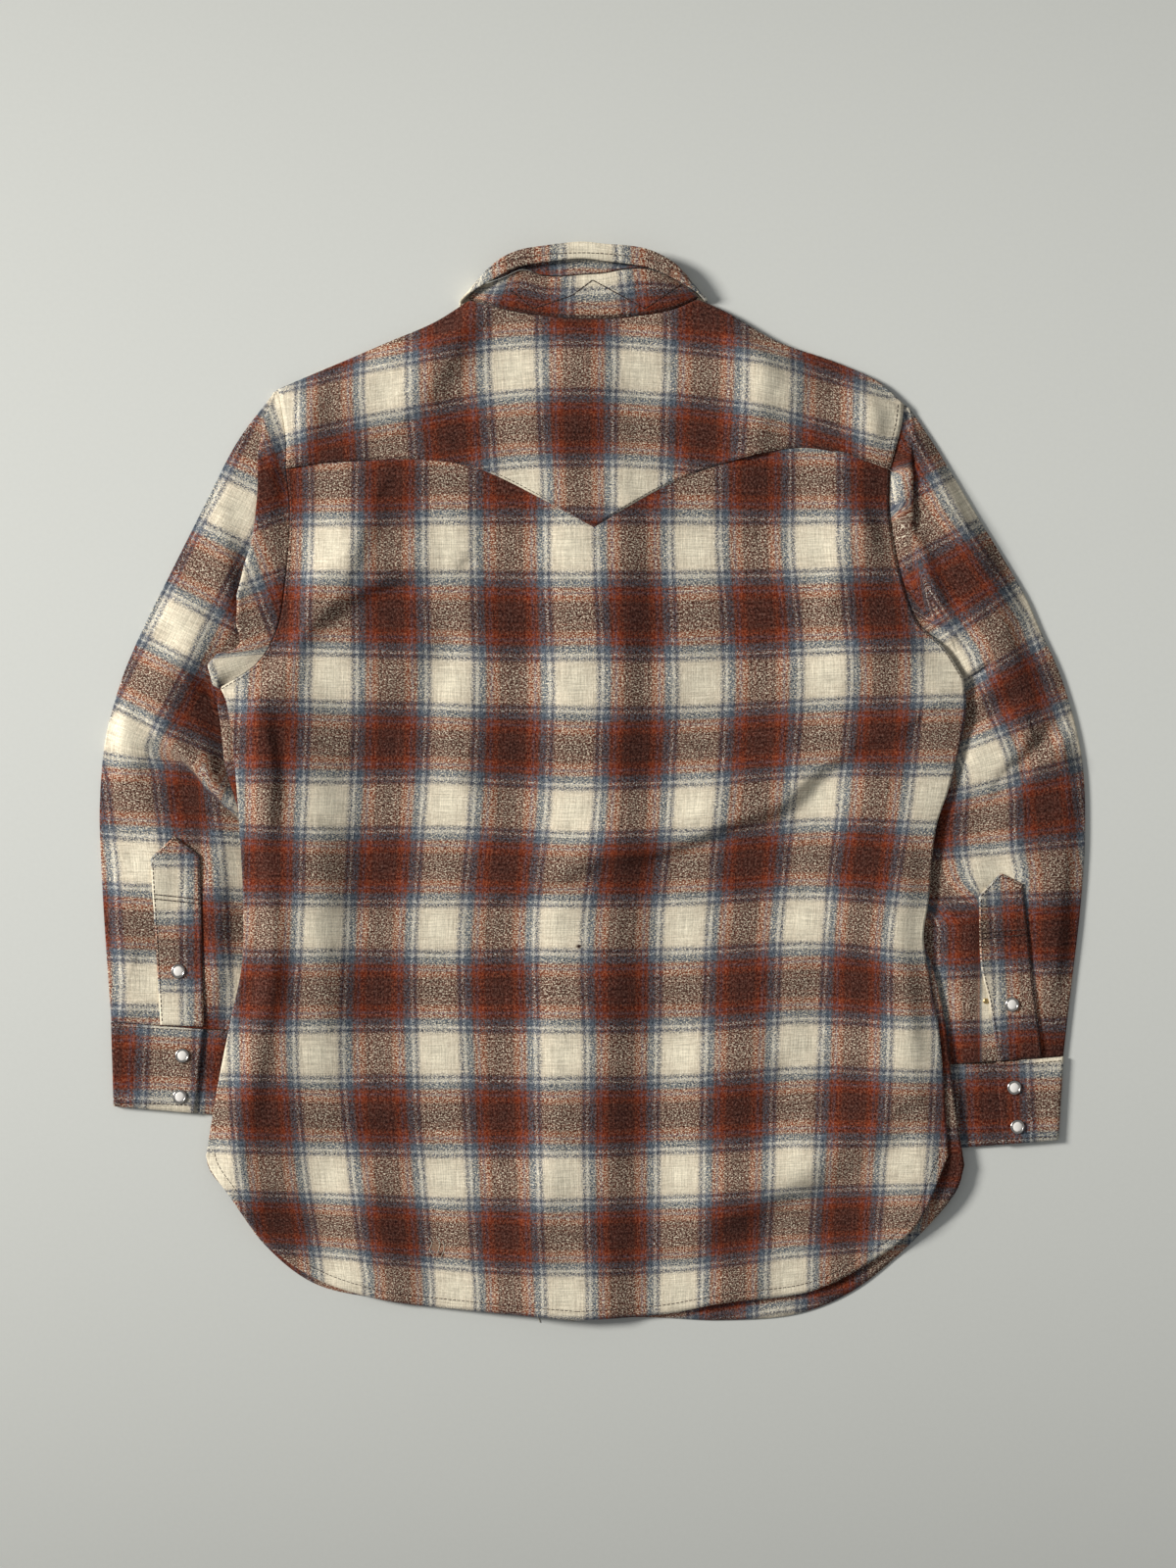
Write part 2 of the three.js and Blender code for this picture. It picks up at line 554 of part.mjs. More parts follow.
// plain snap caps on the hidden side of the front band, facing the surface
function addFrontSnaps() {
  const bandUnder = SNAP_LIFT - BAND_CLOTH - 2 * SEAM_GAP;
  const height = bandUnder - 0.1;
  const profile = [
    [0, 0], [SNAP_RADIUS - 1.2, 0], [SNAP_RADIUS, height * 0.5], [SNAP_RADIUS, height], [0, height],
  ];
  for (let i = 0; i < FRONT_SNAPS; i += 1) {
    const y = FRONT_SNAP_TOP - i * FRONT_SNAP_PITCH;
    const geometry = turned(profile);
    geometry.translate(bandCentre(y), y, 0.1);
    add(`snap_front_${i + 1}`, geometry, CHROME);
  }
}

function bandCentre(y) {
  const line = frontPlan.map((row) => row[CENTRE]);
  const above = line.findIndex((p) => p.y > y);
  const [low, high] = [line[above - 1], line[above]];
  return THREE.MathUtils.lerp(low.x, high.x, (y - low.y) / (high.y - low.y));
}

// thickness is laid across each point of a sheet, along the sheet's own normal
function thicken(sheet, thickness) {
  const at = (r, c) => sheet[THREE.MathUtils.clamp(r, 0, sheet.length - 1)][
    THREE.MathUtils.clamp(c, 0, sheet[0].length - 1)];
  const offset = (sign) => sheet.map((row, r) => row.map((p, c) => {
    const along = at(r + 1, c).clone().sub(at(r - 1, c));
    const across = at(r, c + 1).clone().sub(at(r, c - 1));
    return along.cross(across).normalize().multiplyScalar((sign * thickness) / 2).add(p);
  }));
  return wall(offset(1), offset(-1));
}

// stations of the stand from the left lap round the neck to the right lap: neck seam and top edge
function standRing() {
  const high = (c) => {
    const seam = backPlan[TOP_ROW][c];
    const z = backUnder[TOP_ROW][c].z + CLOTH + SEAM_GAP + CLOTH / 2;
    const inwardX = THREE.MathUtils.lerp(seam.x, COLLAR_CENTRE, STAND_TAPER);
    const top = vec(inwardX, seam.y + STAND_BACK[c - NECK_START], z);
    return { seam: vec(seam.x, seam.y + NECK_EASE, z), top };
  };
  const corner = (c) => {
    const { seam, top } = high(c);
    const inward = Math.sign(COLLAR_CENTRE - seam.x);
    return { seam: seam.add(vec(inward * 0.5, 0.8)), top };
  };
  const low = (c, raised) => {
    const z = frontUnder[TOP_ROW][c].z + CLOTH / 2 + (raised && besideCentre(c) ? PLY : 0);
    if (c === NECK_START || c === NECK_END) {
      const { seam, top } = corner(c);
      return { seam: seam.setZ(z), top: top.setZ(z) };
    }
    const seam = frontPlan[TOP_ROW][c].clone();
    const inward = vec(COLLAR_CENTRE - seam.x, STAND_AIM - seam.y).normalize();
    return {
      seam: seam.clone().addScaledVector(inward, NECK_EASE).setZ(z),
      top: seam.clone().addScaledVector(inward, STAND_FRONT).setZ(z),
    };
  };
  const turn = (from, to, side) => NECK_TURN.map((share) => {
    const bulge = vec(side * ((to.seam.z - from.seam.z) / 2) * Math.sin(Math.PI * share), 0);
    const height = (1 - Math.cos(Math.PI * share)) / 2;
    const place = (key) => from[key].clone().lerp(to[key], height).add(bulge);
    return { seam: place('seam'), top: place('top') };
  });
  const run = (first, last, make) => Array.from({ length: Math.abs(last - first) + 1 }, (_, i) => (
    make(first + i * Math.sign(last - first))));
  const left = { low: low(NECK_START, false), high: corner(NECK_START) };
  const right = { low: low(NECK_END, false), high: corner(NECK_END) };
  return [
    ...run(CENTRE + 1, NECK_START + 1, (c) => low(c, false)),
    left.low,
    ...turn(left.low, left.high, -1),
    left.high,
    ...run(NECK_START + 1, NECK_END - 1, high),
    right.high,
    ...turn(right.low, right.high, 1).reverse(),
    right.low,
    ...run(NECK_END - 1, CENTRE - 1, (c) => low(c, true)),
  ];
}

function addStand() {
  const rail = ({ seam, top }) => [0, 0.5, 1].map((share) => seam.clone().lerp(top, share));
  const sheet = standRing().map(rail);
  add('collar_stand', thicken(sheet, CLOTH), WOOL);
}

// leaf: its fall lies under the fronts, and its back stands up with the edge rolled over
function addLeaf() {
  const ring = standRing().slice(1, -1);
  const sheet = ring.map(({ seam, top }, i) => {
    const section = LEAF[Math.min(i, ring.length - 1 - i)];
    const along = top.clone().sub(seam).setZ(0).normalize();
    const outward = vec(i * 2 < ring.length ? -1 : 1, 0);
    const rail = ([past, out, z]) => (
      top.clone().addScaledVector(along, past).addScaledVector(outward, out).setZ(z));
    const curve = new THREE.CatmullRomCurve3(section.map(rail), false, 'centripetal');
    return even(LEAF_POINTS - 1).map((t) => {
      const p = curve.getPoint(t);
      return p.setZ(Math.max(p.z, CLOTH / 2));
    });
  });
  add('collar_leaf', thicken(sheet, CLOTH), WOOL_LIGHT);
}

addBody();
['left', 'right'].forEach((side) => {
  addSleeve(side);
  addCuff(side);
  addPlacket(side);
});
addFrontSnaps();
addStand();
addLeaf();

// origin: middle of the underside of the shirt's box
const box = new THREE.Box3().setFromObject(shirt);
shirt.position.set(-(box.min.x + box.max.x) / 2, -(box.min.y + box.max.y) / 2, -box.min.z);
shirt.updateMatrixWorld(true);

export default shirt;
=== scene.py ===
import math

import bmesh
import bpy
import numpy as np
from mathutils import Matrix, Vector
from mathutils.bvhtree import BVHTree


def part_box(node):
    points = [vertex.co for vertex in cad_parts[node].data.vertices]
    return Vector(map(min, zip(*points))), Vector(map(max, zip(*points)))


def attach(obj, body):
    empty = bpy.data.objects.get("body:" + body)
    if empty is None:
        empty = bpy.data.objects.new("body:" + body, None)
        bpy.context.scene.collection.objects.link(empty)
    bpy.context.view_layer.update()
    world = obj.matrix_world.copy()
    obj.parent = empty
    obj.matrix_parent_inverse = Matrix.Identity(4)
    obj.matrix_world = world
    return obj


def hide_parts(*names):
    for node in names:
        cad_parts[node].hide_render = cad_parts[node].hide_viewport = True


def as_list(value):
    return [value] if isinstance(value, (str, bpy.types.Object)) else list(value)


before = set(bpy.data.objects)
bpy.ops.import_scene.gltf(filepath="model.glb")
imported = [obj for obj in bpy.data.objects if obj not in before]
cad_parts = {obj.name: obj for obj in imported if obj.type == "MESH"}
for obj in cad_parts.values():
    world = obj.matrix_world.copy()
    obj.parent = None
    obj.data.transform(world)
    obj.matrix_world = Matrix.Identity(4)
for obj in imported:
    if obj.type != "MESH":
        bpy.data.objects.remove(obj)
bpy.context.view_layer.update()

# Sizes of the cloth and of the layers, middle of each ply
CLOTH = 1.1
LOWER = 0.75
PLY = 1.9
UPPER = LOWER + PLY
SIDE_LIFT = 6.5
NECK_LIFT = 2.0
BAND_LIFT = 3.7
FOLD_DEPTH = 1.55
BAND_HALF_WIDTH = 18
COLLAR_CENTRE = -6.5
REPEAT = 97.3
NECK_REPEAT = 110
SNAP_RADIUS = 5.75
PEARL_RADIUS = 3.9

# Where the left placket's left edge and tip lie on the table gives the solids' place in the frame
PLACKET_LEFT_EDGE = -344
PLACKET_TIP = -42
low_corner, high_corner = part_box("placket_left")
SHIFT = np.array([low_corner.x * 1000 - PLACKET_LEFT_EDGE, high_corner.y * 1000 - PLACKET_TIP, 0])

# Outlines of the back and yoke, columns x and y
SIDE_LEFT = [(-301, -291), (-292, -237), (-282, -186), (-273, -141), (-272, -99), (-274, -51), (-278, 5),
             (-285, 62), (-290, 74)]
SIDE_RIGHT = [(277, -291), (274, -239), (270, -193), (265, -162), (258, -121), (262, -91), (268, -34),
              (278, -3), (291, 55), (289, 82)]
ARMHOLE_LEFT = [(-290, 74), (-262, 92), (-246, 118), (-239, 160), (-236, 213), (-239, 245)]
ARMHOLE_RIGHT = [(289, 82), (274, 105), (254, 124), (242, 154), (232, 206), (232, 244)]
YOKE_END_LEFT = [(-239, 245), (-239, 267), (-245, 307)]
YOKE_END_RIGHT = [(232, 244), (241, 279), (243, 295)]
YOKE_EDGE_LEFT = [(-239, 245), (-207, 249), (-157, 252), (-115, 250), (-82, 242), (1, 199)]
YOKE_EDGE_RIGHT = [(1, 199), (61, 233), (117, 253), (164, 261), (199, 255), (232, 244)]
SHOULDER_LEFT = [(-245, 307), (-196, 328), (-158, 344), (-123, 359), (-96, 376)]
SHOULDER_RIGHT = [(82, 377), (104, 367), (144, 344), (190, 328), (224, 312), (243, 295)]
NECK = [(-96, 376), (-72, 369), (-38, 363), (-3, 361), (35, 363), (65, 369), (82, 377)]
HEM_LEFT = [(-301, -291), (-298, -300), (-283, -321), (-255, -359), (-218, -386), (-167, -403), (-95, -412),
            (-12, -419)]
HEM_RIGHT = [(-12, -419), (54, -415), (103, -406), (171, -397), (214, -376), (251, -347), (277, -291)]

# Outlines of the fronts where they differ
FRONT_HEM_LEFT = [(-301, -291), (-299, -301), (-283, -322), (-256, -361), (-218, -391), (-167, -403),
                  (-95, -412), (-12, -417)]
FRONT_HEM_RIGHT = [(-12, -417), (54, -418), (99, -420), (160, -415), (202, -398), (241, -367), (284, -318),
                   (290, -298)]
FRONT_SIDE_RIGHT = [(290, -298), (285, -267), (281, -239), (278, -211), (275, -187), (267, -150), (258, -121),
                    (262, -91), (268, -34), (278, -3), (291, 55), (289, 82)]
FRONT_NECK = [(-96, 376), (-90, 346), (-70, 313), (-40, 291), (-6, 283), (27, 291), (57, 313), (76, 346),
              (82, 377)]

# Sleeves: outer fold from shoulder to cuff, and the inner edge under the body from underarm to cuff.
# Each fold row: share of the way from shoulder to underarm, distance from the seam, how far it turns over
SLEEVES = {
    "left": {
        "cap": [(-249, 304), (-277, 267), (-301, 221), (-324, 175), (-347, 129), (-356, 110)],
        "outer": [(-356, 110), (-367, 83), (-380, 37), (-385, -16), (-384, -62), (-381, -116), (-376, -186.5)],
        "seam": [(-290, 74), (-281, 49), (-272, 14), (-265, -24), (-260, -62), (-259, -101), (-262, -139),
                 (-271, -166), (-280, -194)],
        "fold": [(0, 3, 0), (0.1, 14.5, 0.6), (0.2, 20, 1), (0.3, 23, 1), (0.4, 26, 1), (0.5, 28, 1), (0.6, 33, 1),
                 (0.7, 36, 1), (0.78, 30, 1), (0.83, 19, 1), (0.86, 19, 1), (0.9, 26, 1), (0.95, 22, 0.9), (1, 5, 0.3)],
        "tuck": 15,
        "drop": 1.6,
    },
    "right": {
        "cap": [(248, 292), (265, 267), (284, 236), (302, 206), (321, 175), (339, 144), (349, 121)],
        "outer": [(349, 121), (366, 83), (382, 22), (385, -39), (381, -101), (374, -161), (368, -213.5)],
        "seam": [(289, 82), (282, 55), (267, -3), (258, -34), (252, -91), (249, -121), (255, -162), (263, -193),
                 (271, -220.5)],
        "fold": [(0, 3, 0), (0.15, 12, 0), (0.22, 15, 0.5), (0.27, 16, 1), (0.33, 16.5, 1), (0.4, 17, 0.5),
                 (0.47, 16, 0.1), (0.55, 15, 0), (0.7, 12, 0), (1, 6, 0)],
        "tuck": 4,
        "drop": 2.5,
    },
}

# Cuffs: corners, the edge that laps on top, and the two snaps
CUFFS = {
    "left": {
        "top": {"outer": (-376, -187), "lap": (-303, -191), "inner": (-280, -194.5)},
        "bottom": {"outer": (-374, -252.5), "lap": (-310, -255), "inner": (-288, -260)},
        "snaps": [(-320, -213), (-322, -245)],
    },
    "right": {
        "top": {"outer": (368, -214), "lap": (315, -218.5), "inner": (271, -221)},
        "bottom": {"outer": (364, -279), "lap": (320, -281.5), "inner": (278, -286)},
        "snaps": [(329, -238), (331.5, -268.5)],
    },
}
UNDERLAP = 30

# Sleeve plackets: bottom edge, sides, the two slopes to the tip, and the snap
PLACKETS = {
    "left": {
        "bottom": [(-337, -189), (-303, -190.2)],
        "left": [(-337, -189), (-344, -59)],
        "right": [(-303, -190.2), (-306, -57)],
        "tip": [(-344, -59), (-326, -42), (-306, -57)],
        "snap": (-323, -147),
    },
    "right": {
        "bottom": [(317, -217), (351, -215)],
        "left": [(317, -217), (309, -170), (303, -144), (301, -88)],
        "right": [(351, -215), (344, -160), (335, -79)],
        "tip": [(301, -88), (318, -70.5), (335, -79)],
        "snap": (327, -173),
    },
}

# Middles of the cream squares, rows from collar to hem and squares from left to right
BACK_SQUARES = [
    [(-285, 181), (-203, 182), (-113, 183), (-16, 183), (80, 183), (174, 184), (269, 184)],
    [(-293, 82), (-203, 81), (-110, 78), (-13, 76), (84, 77), (182, 82), (274, 85)],
    [(-296, -16), (-206, -18), (-113, -17), (-16, -23), (79, -20), (175, -12), (265, -12)],
    [(-297, -112), (-210, -113), (-121, -114), (-25, -112), (72, -112), (166, -107), (249, -115)],
    [(-299, -211), (-214, -212), (-120, -212), (-24, -213), (69, -212), (161, -205), (249, -208)],
    [(-293, -304), (-206, -307), (-114, -309), (-23, -308), (68, -306), (157, -301), (244, -299)],
    [(-283, -378), (-194, -386), (-108, -396), (-20, -400), (67, -398), (153, -386), (238, -378)],
]
YOKE_SQUARES = [
    [(-247, 286), (-163, 305), (-62, 321), (38, 321), (139, 308), (229, 284)],
    [(-244, 196), (-157, 214), (-55, 229), (34, 229), (134, 219), (228, 196)],
]
# Rows of squares down each sleeve: middle of one square, tilt of its row in degrees
SLEEVE_SQUARES = {
    "left": [(-277, 212, -26), (-323, 120, -27), (-365, 35, -24), (-405, -55, -24)],
    "left_forearm": [(-365, 41, -4), (-352, -63, -3), (-347, -157, -2)],
    "right": [(295, 224, 28), (353, 138, 33), (390, 42, 17), (410, -66, 3), (410, -165, 2)],
}
# Edge of the left sleeve's upper part, which laps over its lower part at the elbow
ELBOW_TUCK = [(-390, 30), (-350, 25), (-318, 18), (-301, -4), (-277, -29), (-255, -50)]
# Other pieces, each with one square's middle and the turn of its cloth in degrees
SQUARES = {
    "cap_left": (-289, 168, 20),
    "cap_right": (214, 232, 8),
    "cuff_left": (-331, -268, -2),
    "cuff_right": (360, -202, 2),
    "placket_left": (-338, -83, 0),
    "placket_right": (295, -167, 3),
    "stand": (5, 402, 0),
    "leaf": (-2, 411, 0),
    "band": (0, 20, 0),
}

# Soft ridges and troughs of each piece: from one end to the other, width on the left and on the right of
# that line, and rise in the middle
BACK_FOLDS = [
    (-110, -66, -25, -76, 26, 16, 2.4),
    (-172, 212, -226, 118, 13, 26, 4.6), (205, 212, 230, 178, 10, 16, 3.0), (-222, 60, -212, -250, 22, 34, 3.4),
    (-160, 20, -170, -180, 22, 30, -1.8), (-256, -10, -246, -200, 12, 16, 2.4), (72, -356, 216, -270, 30, 15, 4.2),
    (248, -60, 244, -240, 14, 22, 2.6), (-30, -250, -60, -400, 20, 34, 2.4), (120, -150, 100, -330, 22, 36, 2.4),
    (-190, -290, -150, -390, 16, 28, 2.4), (176, 92, 262, 112, 20, 11, 3.6), (-120, 140, -180, 40, 18, 34, 2.6),
    (40, 150, 20, 10, 40, 40, 1.4), (-262, 40, -238, 96, 10, 18, 3.0), (150, 150, 160, 60, 18, 30, 2.0),
    (-290, -250, -266, -330, 14, 18, 2.2), (-80, -180, 60, -170, 24, 18, 1.8), (170, -60, 150, -200, 16, 30, 2.2),
]
# The body's main creases, along curved lines
BACK_CREASES = [
    ([(-60, -86), (0, -60), (45, -52), (106, -29), (147, -15), (169, 6), (194, 24), (240, 44)], 34, 7, 8.6),
    ([(-262, 70), (-258, 40), (-253, 10), (-253, -40)], 8, 17, 8.0),
    ([(-246, -110), (-252, -160), (-264, -238), (-268, -280)], 9, 13, 5.0),
    ([(-228, 116), (-200, 140), (-160, 160), (-110, 172)], 26, 7, 6.0),
    ([(250, 96), (215, 84), (180, 84), (140, 98)], 22, 8, 3.2),
    ([(190, 235), (196, 190), (180, 120), (186, 60)], 22, 10, 3.0),
    ([(-60, -300), (10, -312), (90, -330), (190, -300), (240, -262)], 26, 10, 3.0),
    ([(-230, -250), (-190, -262), (-130, -256), (-80, -270)], 22, 9, 2.6),
    ([(-110, 190), (-96, 120), (-110, 40), (-90, -40)], 26, 12, 2.6),
    ([(60, 200), (76, 130), (60, 60), (80, 0)], 26, 14, 2.0),
    ([(-150, -90), (-70, -104), (20, -98), (90, -110)], 24, 10, 2.4),
]
YOKE_FOLDS = [
    (131, 326, 126, 244, 12, 20, 3.2), (-95, 362, -136, 296, 12, 22, 3.8), (104, 352, 150, 306, 18, 14, 2.6),
    (-215, 306, -228, 256, 10, 16, 2.4), (212, 306, 222, 262, 10, 12, 2.4), (-20, 345, -10, 290, 34, 30, 1.6),
    (-60, 300, -40, 240, 22, 26, 1.8), (-176, 330, -182, 262, 16, 20, 2.0),
]
SLEEVE_FOLDS = {
    "left": [
        (-300, 160, -338, 50, 22, 26, 4.4), (-337, 40, -268, -22, 20, 5, 5.4), (-330, -30, -352, -120, 16, 24, 2.6),
        (-296, -60, -290, -150, 10, 12, 2.4), (-290, 214, -280, 120, 10, 14, 3.0), (-372, 60, -352, -10, 12, 16, 2.4),
        (-372, -60, -362, -170, 14, 14, 2.0), (-318, 120, -352, 104, 10, 9, -2.0),
    ],
    "right": [
        (262, 262, 300, 150, 14, 22, 3.0), (243, 210, 278, 116, 8, 13, 4.2), (296, 186, 336, 60, 14, 26, 4.4), (284, 44, 326, 64, 8, 8, -3.6),
        (318, -4, 362, 44, 7, 9, -4.2), (326, 24, 372, 16, 16, 12, 4.2), (330, -20, 350, -140, 22, 18, 2.6),
        (300, -60, 296, -160, 12, 16, 2.6), (366, -20, 360, -150, 12, 14, 2.2), (318, 120, 352, 96, 14, 12, -2.0),
    ],
}

# Stand above the neck seam, and the leaf's outer and free edges past the stand, by eleven columns of the neck
STAND_BACK = [12, 22, 32.5, 30.6, 32, 34, 35, 36.8, 34.9, 26.4, 12]
LEAF_OUTER = [8, 13.4, 14.6, 22.6, 25, 24.8, 22, 18, 14, 8.6, 6]
LEAF_FREE = [1, 1.5, 2, 10.3, 12.6, 12.3, 9.2, 4.2, 0.5, -2.3, -3]
STAND_FRONT = 30

# Stitching: zigzag on the stand, free edge of the leaf, two rows across each placket, and the pale threads
ZIGZAG = [(-65, 384), (-46, 369), (-16, 379), (0, 391), (15, 383), (41, 369), (69, 388)]
LEAF_FREE_EDGE = [(-88, 387), (-79, 395), (-66, 401), (-40, 405), (-7, 407), (23, 405), (46, 401), (66, 393),
                  (74, 385)]
CROSS_STITCHES = {
    "left": [((-342, -87), (-306, -91)), ((-342, -90.5), (-306, -94.5))],
    "right": [((303, -121.5), (338, -118.5)), ((303, -117.5), (338, -114.5))],
}
PALE_THREADS = [
    [(-128, -355), (-125, -359), (-127, -365), (-124, -369)], [(-122, -354), (-119, -360), (-121, -367)],
    [(-117, -357), (-115.5, -363), (-118, -370)], [(-43, -414), (-42, -418), (-41, -422)],
    [(-25, -418), (-20, -419.5), (-14, -421)], [(-32, 334), (-31.6, 331)], [(280, -289), (283, -296)],
]
SOCKET = (306.8, -170.4)

SEED = 11
rng = np.random.default_rng(SEED)


def smooth(low, high, value):
    share = np.clip((value - low) / (high - low), 0, 1)
    return share * share * (3 - 2 * share)


def curve(points, steps=16):
    """A smooth line through the points, with the same number of steps between each two."""
    p = np.array(points, float)
    p = np.vstack([2 * p[0] - p[1], p, 2 * p[-1] - p[-2]])
    line = []
    for a, b, c, d in zip(p, p[1:], p[2:], p[3:]):
        g0, g1, g2 = (max(float(np.linalg.norm(q - r)) ** 0.5, 1e-3) for q, r in ((b, a), (c, b), (d, c)))
        start = ((b - a) / g0 - (c - a) / (g0 + g1) + (c - b) / g1) * g1
        finish = ((c - b) / g1 - (d - b) / (g1 + g2) + (d - c) / g2) * g1
        for t in np.arange(steps) / steps:
            line.append((2 * t**3 - 3 * t**2 + 1) * b + (t**3 - 2 * t**2 + t) * start
                        + (3 * t**2 - 2 * t**3) * c + (t**3 - t**2) * finish)
    line.append(p[-2])
    return np.array(line)


def along(line, share):
    """Places on a line at shares of its length."""
    lengths = np.r_[0, np.cumsum(np.linalg.norm(np.diff(line, axis=0), axis=1))]
    at = np.asarray(share, float) * lengths[-1]
    return np.stack([np.interp(at, lengths, line[:, k]) for k in range(line.shape[1])], -1)


def edge(breaks, *parts):
    """An outline edge of several curves, each between two shares of the edge."""
    lines = [curve(part) for part in parts]

    def at(share):
        share = np.asarray(share, float)
        spot = np.zeros(share.shape + (2,))
        for line, low, high in zip(lines, breaks, breaks[1:]):
            inside = (share >= low - 1e-9) & (share <= high + 1e-9)
            spot[inside] = along(line, np.clip((share[inside] - low) / (high - low), 0, 1))
        return spot

    return at


def patch(bottom, top, left, right, s, t):
    """Plan of a panel between four edges, at shares s across and t up."""
    ruled = (1 - t)[..., None] * bottom(s) + t[..., None] * top(s)
    crossed = (1 - s)[..., None] * left(t) + s[..., None] * right(t)
    zero, one = np.zeros_like(s), np.ones_like(s)
    low = (1 - s)[..., None] * bottom(zero) + s[..., None] * bottom(one)
    high = (1 - s)[..., None] * top(zero) + s[..., None] * top(one)
    return ruled + crossed - (1 - t)[..., None] * low - t[..., None] * high


def shares(columns, rows, across=(0, 1), up=(0, 1)):
    return np.meshgrid(np.linspace(*across, columns + 1), np.linspace(*up, rows + 1))


def away(x, y, line):
    """Distance in plan from each point to a line."""
    gap = np.full(np.shape(x), np.inf)
    for px, py in line:
        gap = np.minimum(gap, np.hypot(x - px, y - py))
    return gap


SIDE_LINES = np.vstack([curve(part, 6) for part in (SIDE_LEFT, SIDE_RIGHT, ARMHOLE_LEFT, ARMHOLE_RIGHT)])


def centre_line(y):
    return np.interp(y, [-419, 199, 361], [-12, 1, -5])


def lift(x, y, wider=0):
    """Rise of the body's layers over the sleeves, the snap band and the collar's fall."""
    nearest = away(x, y, SIDE_LINES)
    side = SIDE_LIFT * (1 - 0.75 * smooth(80, 260, y)) * (1 - smooth(34 + wider * 0.2, 95 + wider * 0.2, nearest))
    out = np.abs(x - COLLAR_CENTRE)
    neck = NECK_LIFT * smooth(228 - wider, 258 - wider, y) * (1 - smooth(106 + wider, 150 + wider, out))
    band = (1 - smooth(18, 52, np.abs(x - centre_line(y)))) * (1 - smooth(235 + wider, 262 + wider, y))
    return np.maximum(np.maximum(side, neck), BAND_LIFT * band)


def relief(x, y, folds):
    """Sum of soft ridges and troughs, each with its own width on either side."""
    height = np.zeros(np.shape(x))
    for x1, y1, x2, y2, left, right, rise in folds:
        run = np.array([x2 - x1, y2 - y1], float)
        length = np.hypot(*run)
        share = np.clip(((x - x1) * run[0] + (y - y1) * run[1]) / length**2, 0, 1)
        aside = (run[0] * (y - y1 - share * run[1]) - run[1] * (x - x1 - share * run[0])) / length
        gap = np.hypot(x - x1 - share * run[0], y - y1 - share * run[1])
        width = np.where(aside > 0, left, right)
        ends = 0.25 + 0.75 * np.sin(np.pi * np.clip(share, 0.06, 0.94)) ** 0.6
        height += rise * ends * np.exp(-((gap / width) ** 2))
    return height


def creased(x, y, creases):
    """Sum of soft ridges and troughs along curved lines, with a width on either side."""
    x, y = np.asarray(x, float), np.asarray(y, float)
    height = np.zeros(x.shape)
    for line, left, right, rise in creases:
        path = along(curve(line), np.linspace(0, 1, 60))
        way = np.gradient(path, axis=0)
        near = np.argmin((x[..., None] - path[:, 0]) ** 2 + (y[..., None] - path[:, 1]) ** 2, axis=-1)
        over, up = x - path[near, 0], y - path[near, 1]
        width = np.where(way[near, 0] * up > way[near, 1] * over, left, right)
        ends = np.sin(np.pi * np.clip(near / 59, 0.04, 0.96)) ** 0.6
        height += rise * ends * np.exp(-(over**2 + up**2) / width**2)
    return height


def unevenness(low_x, high_x, low_y, high_y, count, rise):
    """Small soft lumps that no laid-out cloth is without."""
    return [(*rng.uniform((low_x, low_y), (high_x, high_y)), rng.uniform(16, 46), rng.uniform(-rise, rise))
            for _ in range(count)]


def lumps(x, y, spots):
    return sum(h * np.exp(-((x - a) ** 2 + (y - b) ** 2) / r**2) for a, b, r, h in spots)


BODY_LUMPS = unevenness(-300, 300, -420, 380, 150, 1.3)
SLEEVE_LUMPS = unevenness(-390, 390, -220, 320, 130, 1.3)


def lap(x, y):
    return PLY * (1 - smooth(20, 58, np.abs(x - centre_line(y)))) * (1 - smooth(316, 345, y))


def back_height(x, y):
    """Middle of the back's cloth."""
    nearest = away(x, y, SIDE_LINES)
    settled = smooth(0, 24, nearest)
    folds = relief(x, y, BACK_FOLDS) * FOLD_DEPTH + creased(x, y, BACK_CREASES) + lumps(x, y, BODY_LUMPS)
    folds = np.clip(folds + 1.8, 0, 10.5) * settled
    base = lift(x, y, 38) + PLY + 0.3 + LOWER + lap(x, y)
    return base + folds - 0.5 * (1 - smooth(0, 6, nearest)) * (y < 70)


def yoke_height(x, y):
    nearest = np.minimum(away(x, y, curve(YOKE_END_LEFT, 6)), away(x, y, curve(YOKE_END_RIGHT, 6)))
    top = away(x, y, np.vstack([curve(SHOULDER_LEFT, 6), curve(SHOULDER_RIGHT, 6)]))
    settled = smooth(0, 20, np.minimum(nearest, top))
    puff = 3.2 * smooth(250, 330, y) * settled
    folds = np.maximum(relief(x, y, YOKE_FOLDS) * FOLD_DEPTH + lumps(x, y, BODY_LUMPS) + 0.4, 0) * settled
    edge_gap = away(x, y, YOKE_EDGE)
    base = lift(x, y, 38) + PLY + 0.3 + LOWER + lap(x, y) + 1.7
    return base + folds + puff - 1.4 * (1 - smooth(0, 9, top)) - 0.25 * (1 - smooth(0, 4, edge_gap))


YOKE_EDGE = np.vstack([curve(YOKE_EDGE_LEFT, 8), curve(YOKE_EDGE_RIGHT, 8)])


# Cloth coordinates: one unit is one repeat of the plaid, and whole numbers are the middles of cream squares
def between(value, stations):
    """Number of each value among rising stations, carried on past the first and last."""
    share = (value[..., None] - stations[..., :-1]) / np.diff(stations, axis=-1)
    if share.shape[-1] > 1:
        share[..., 1:-1] = np.clip(share[..., 1:-1], 0, 1)
        share[..., 0] = np.minimum(share[..., 0], 1)
        share[..., -1] = np.maximum(share[..., -1], 0)
    return share.sum(-1)


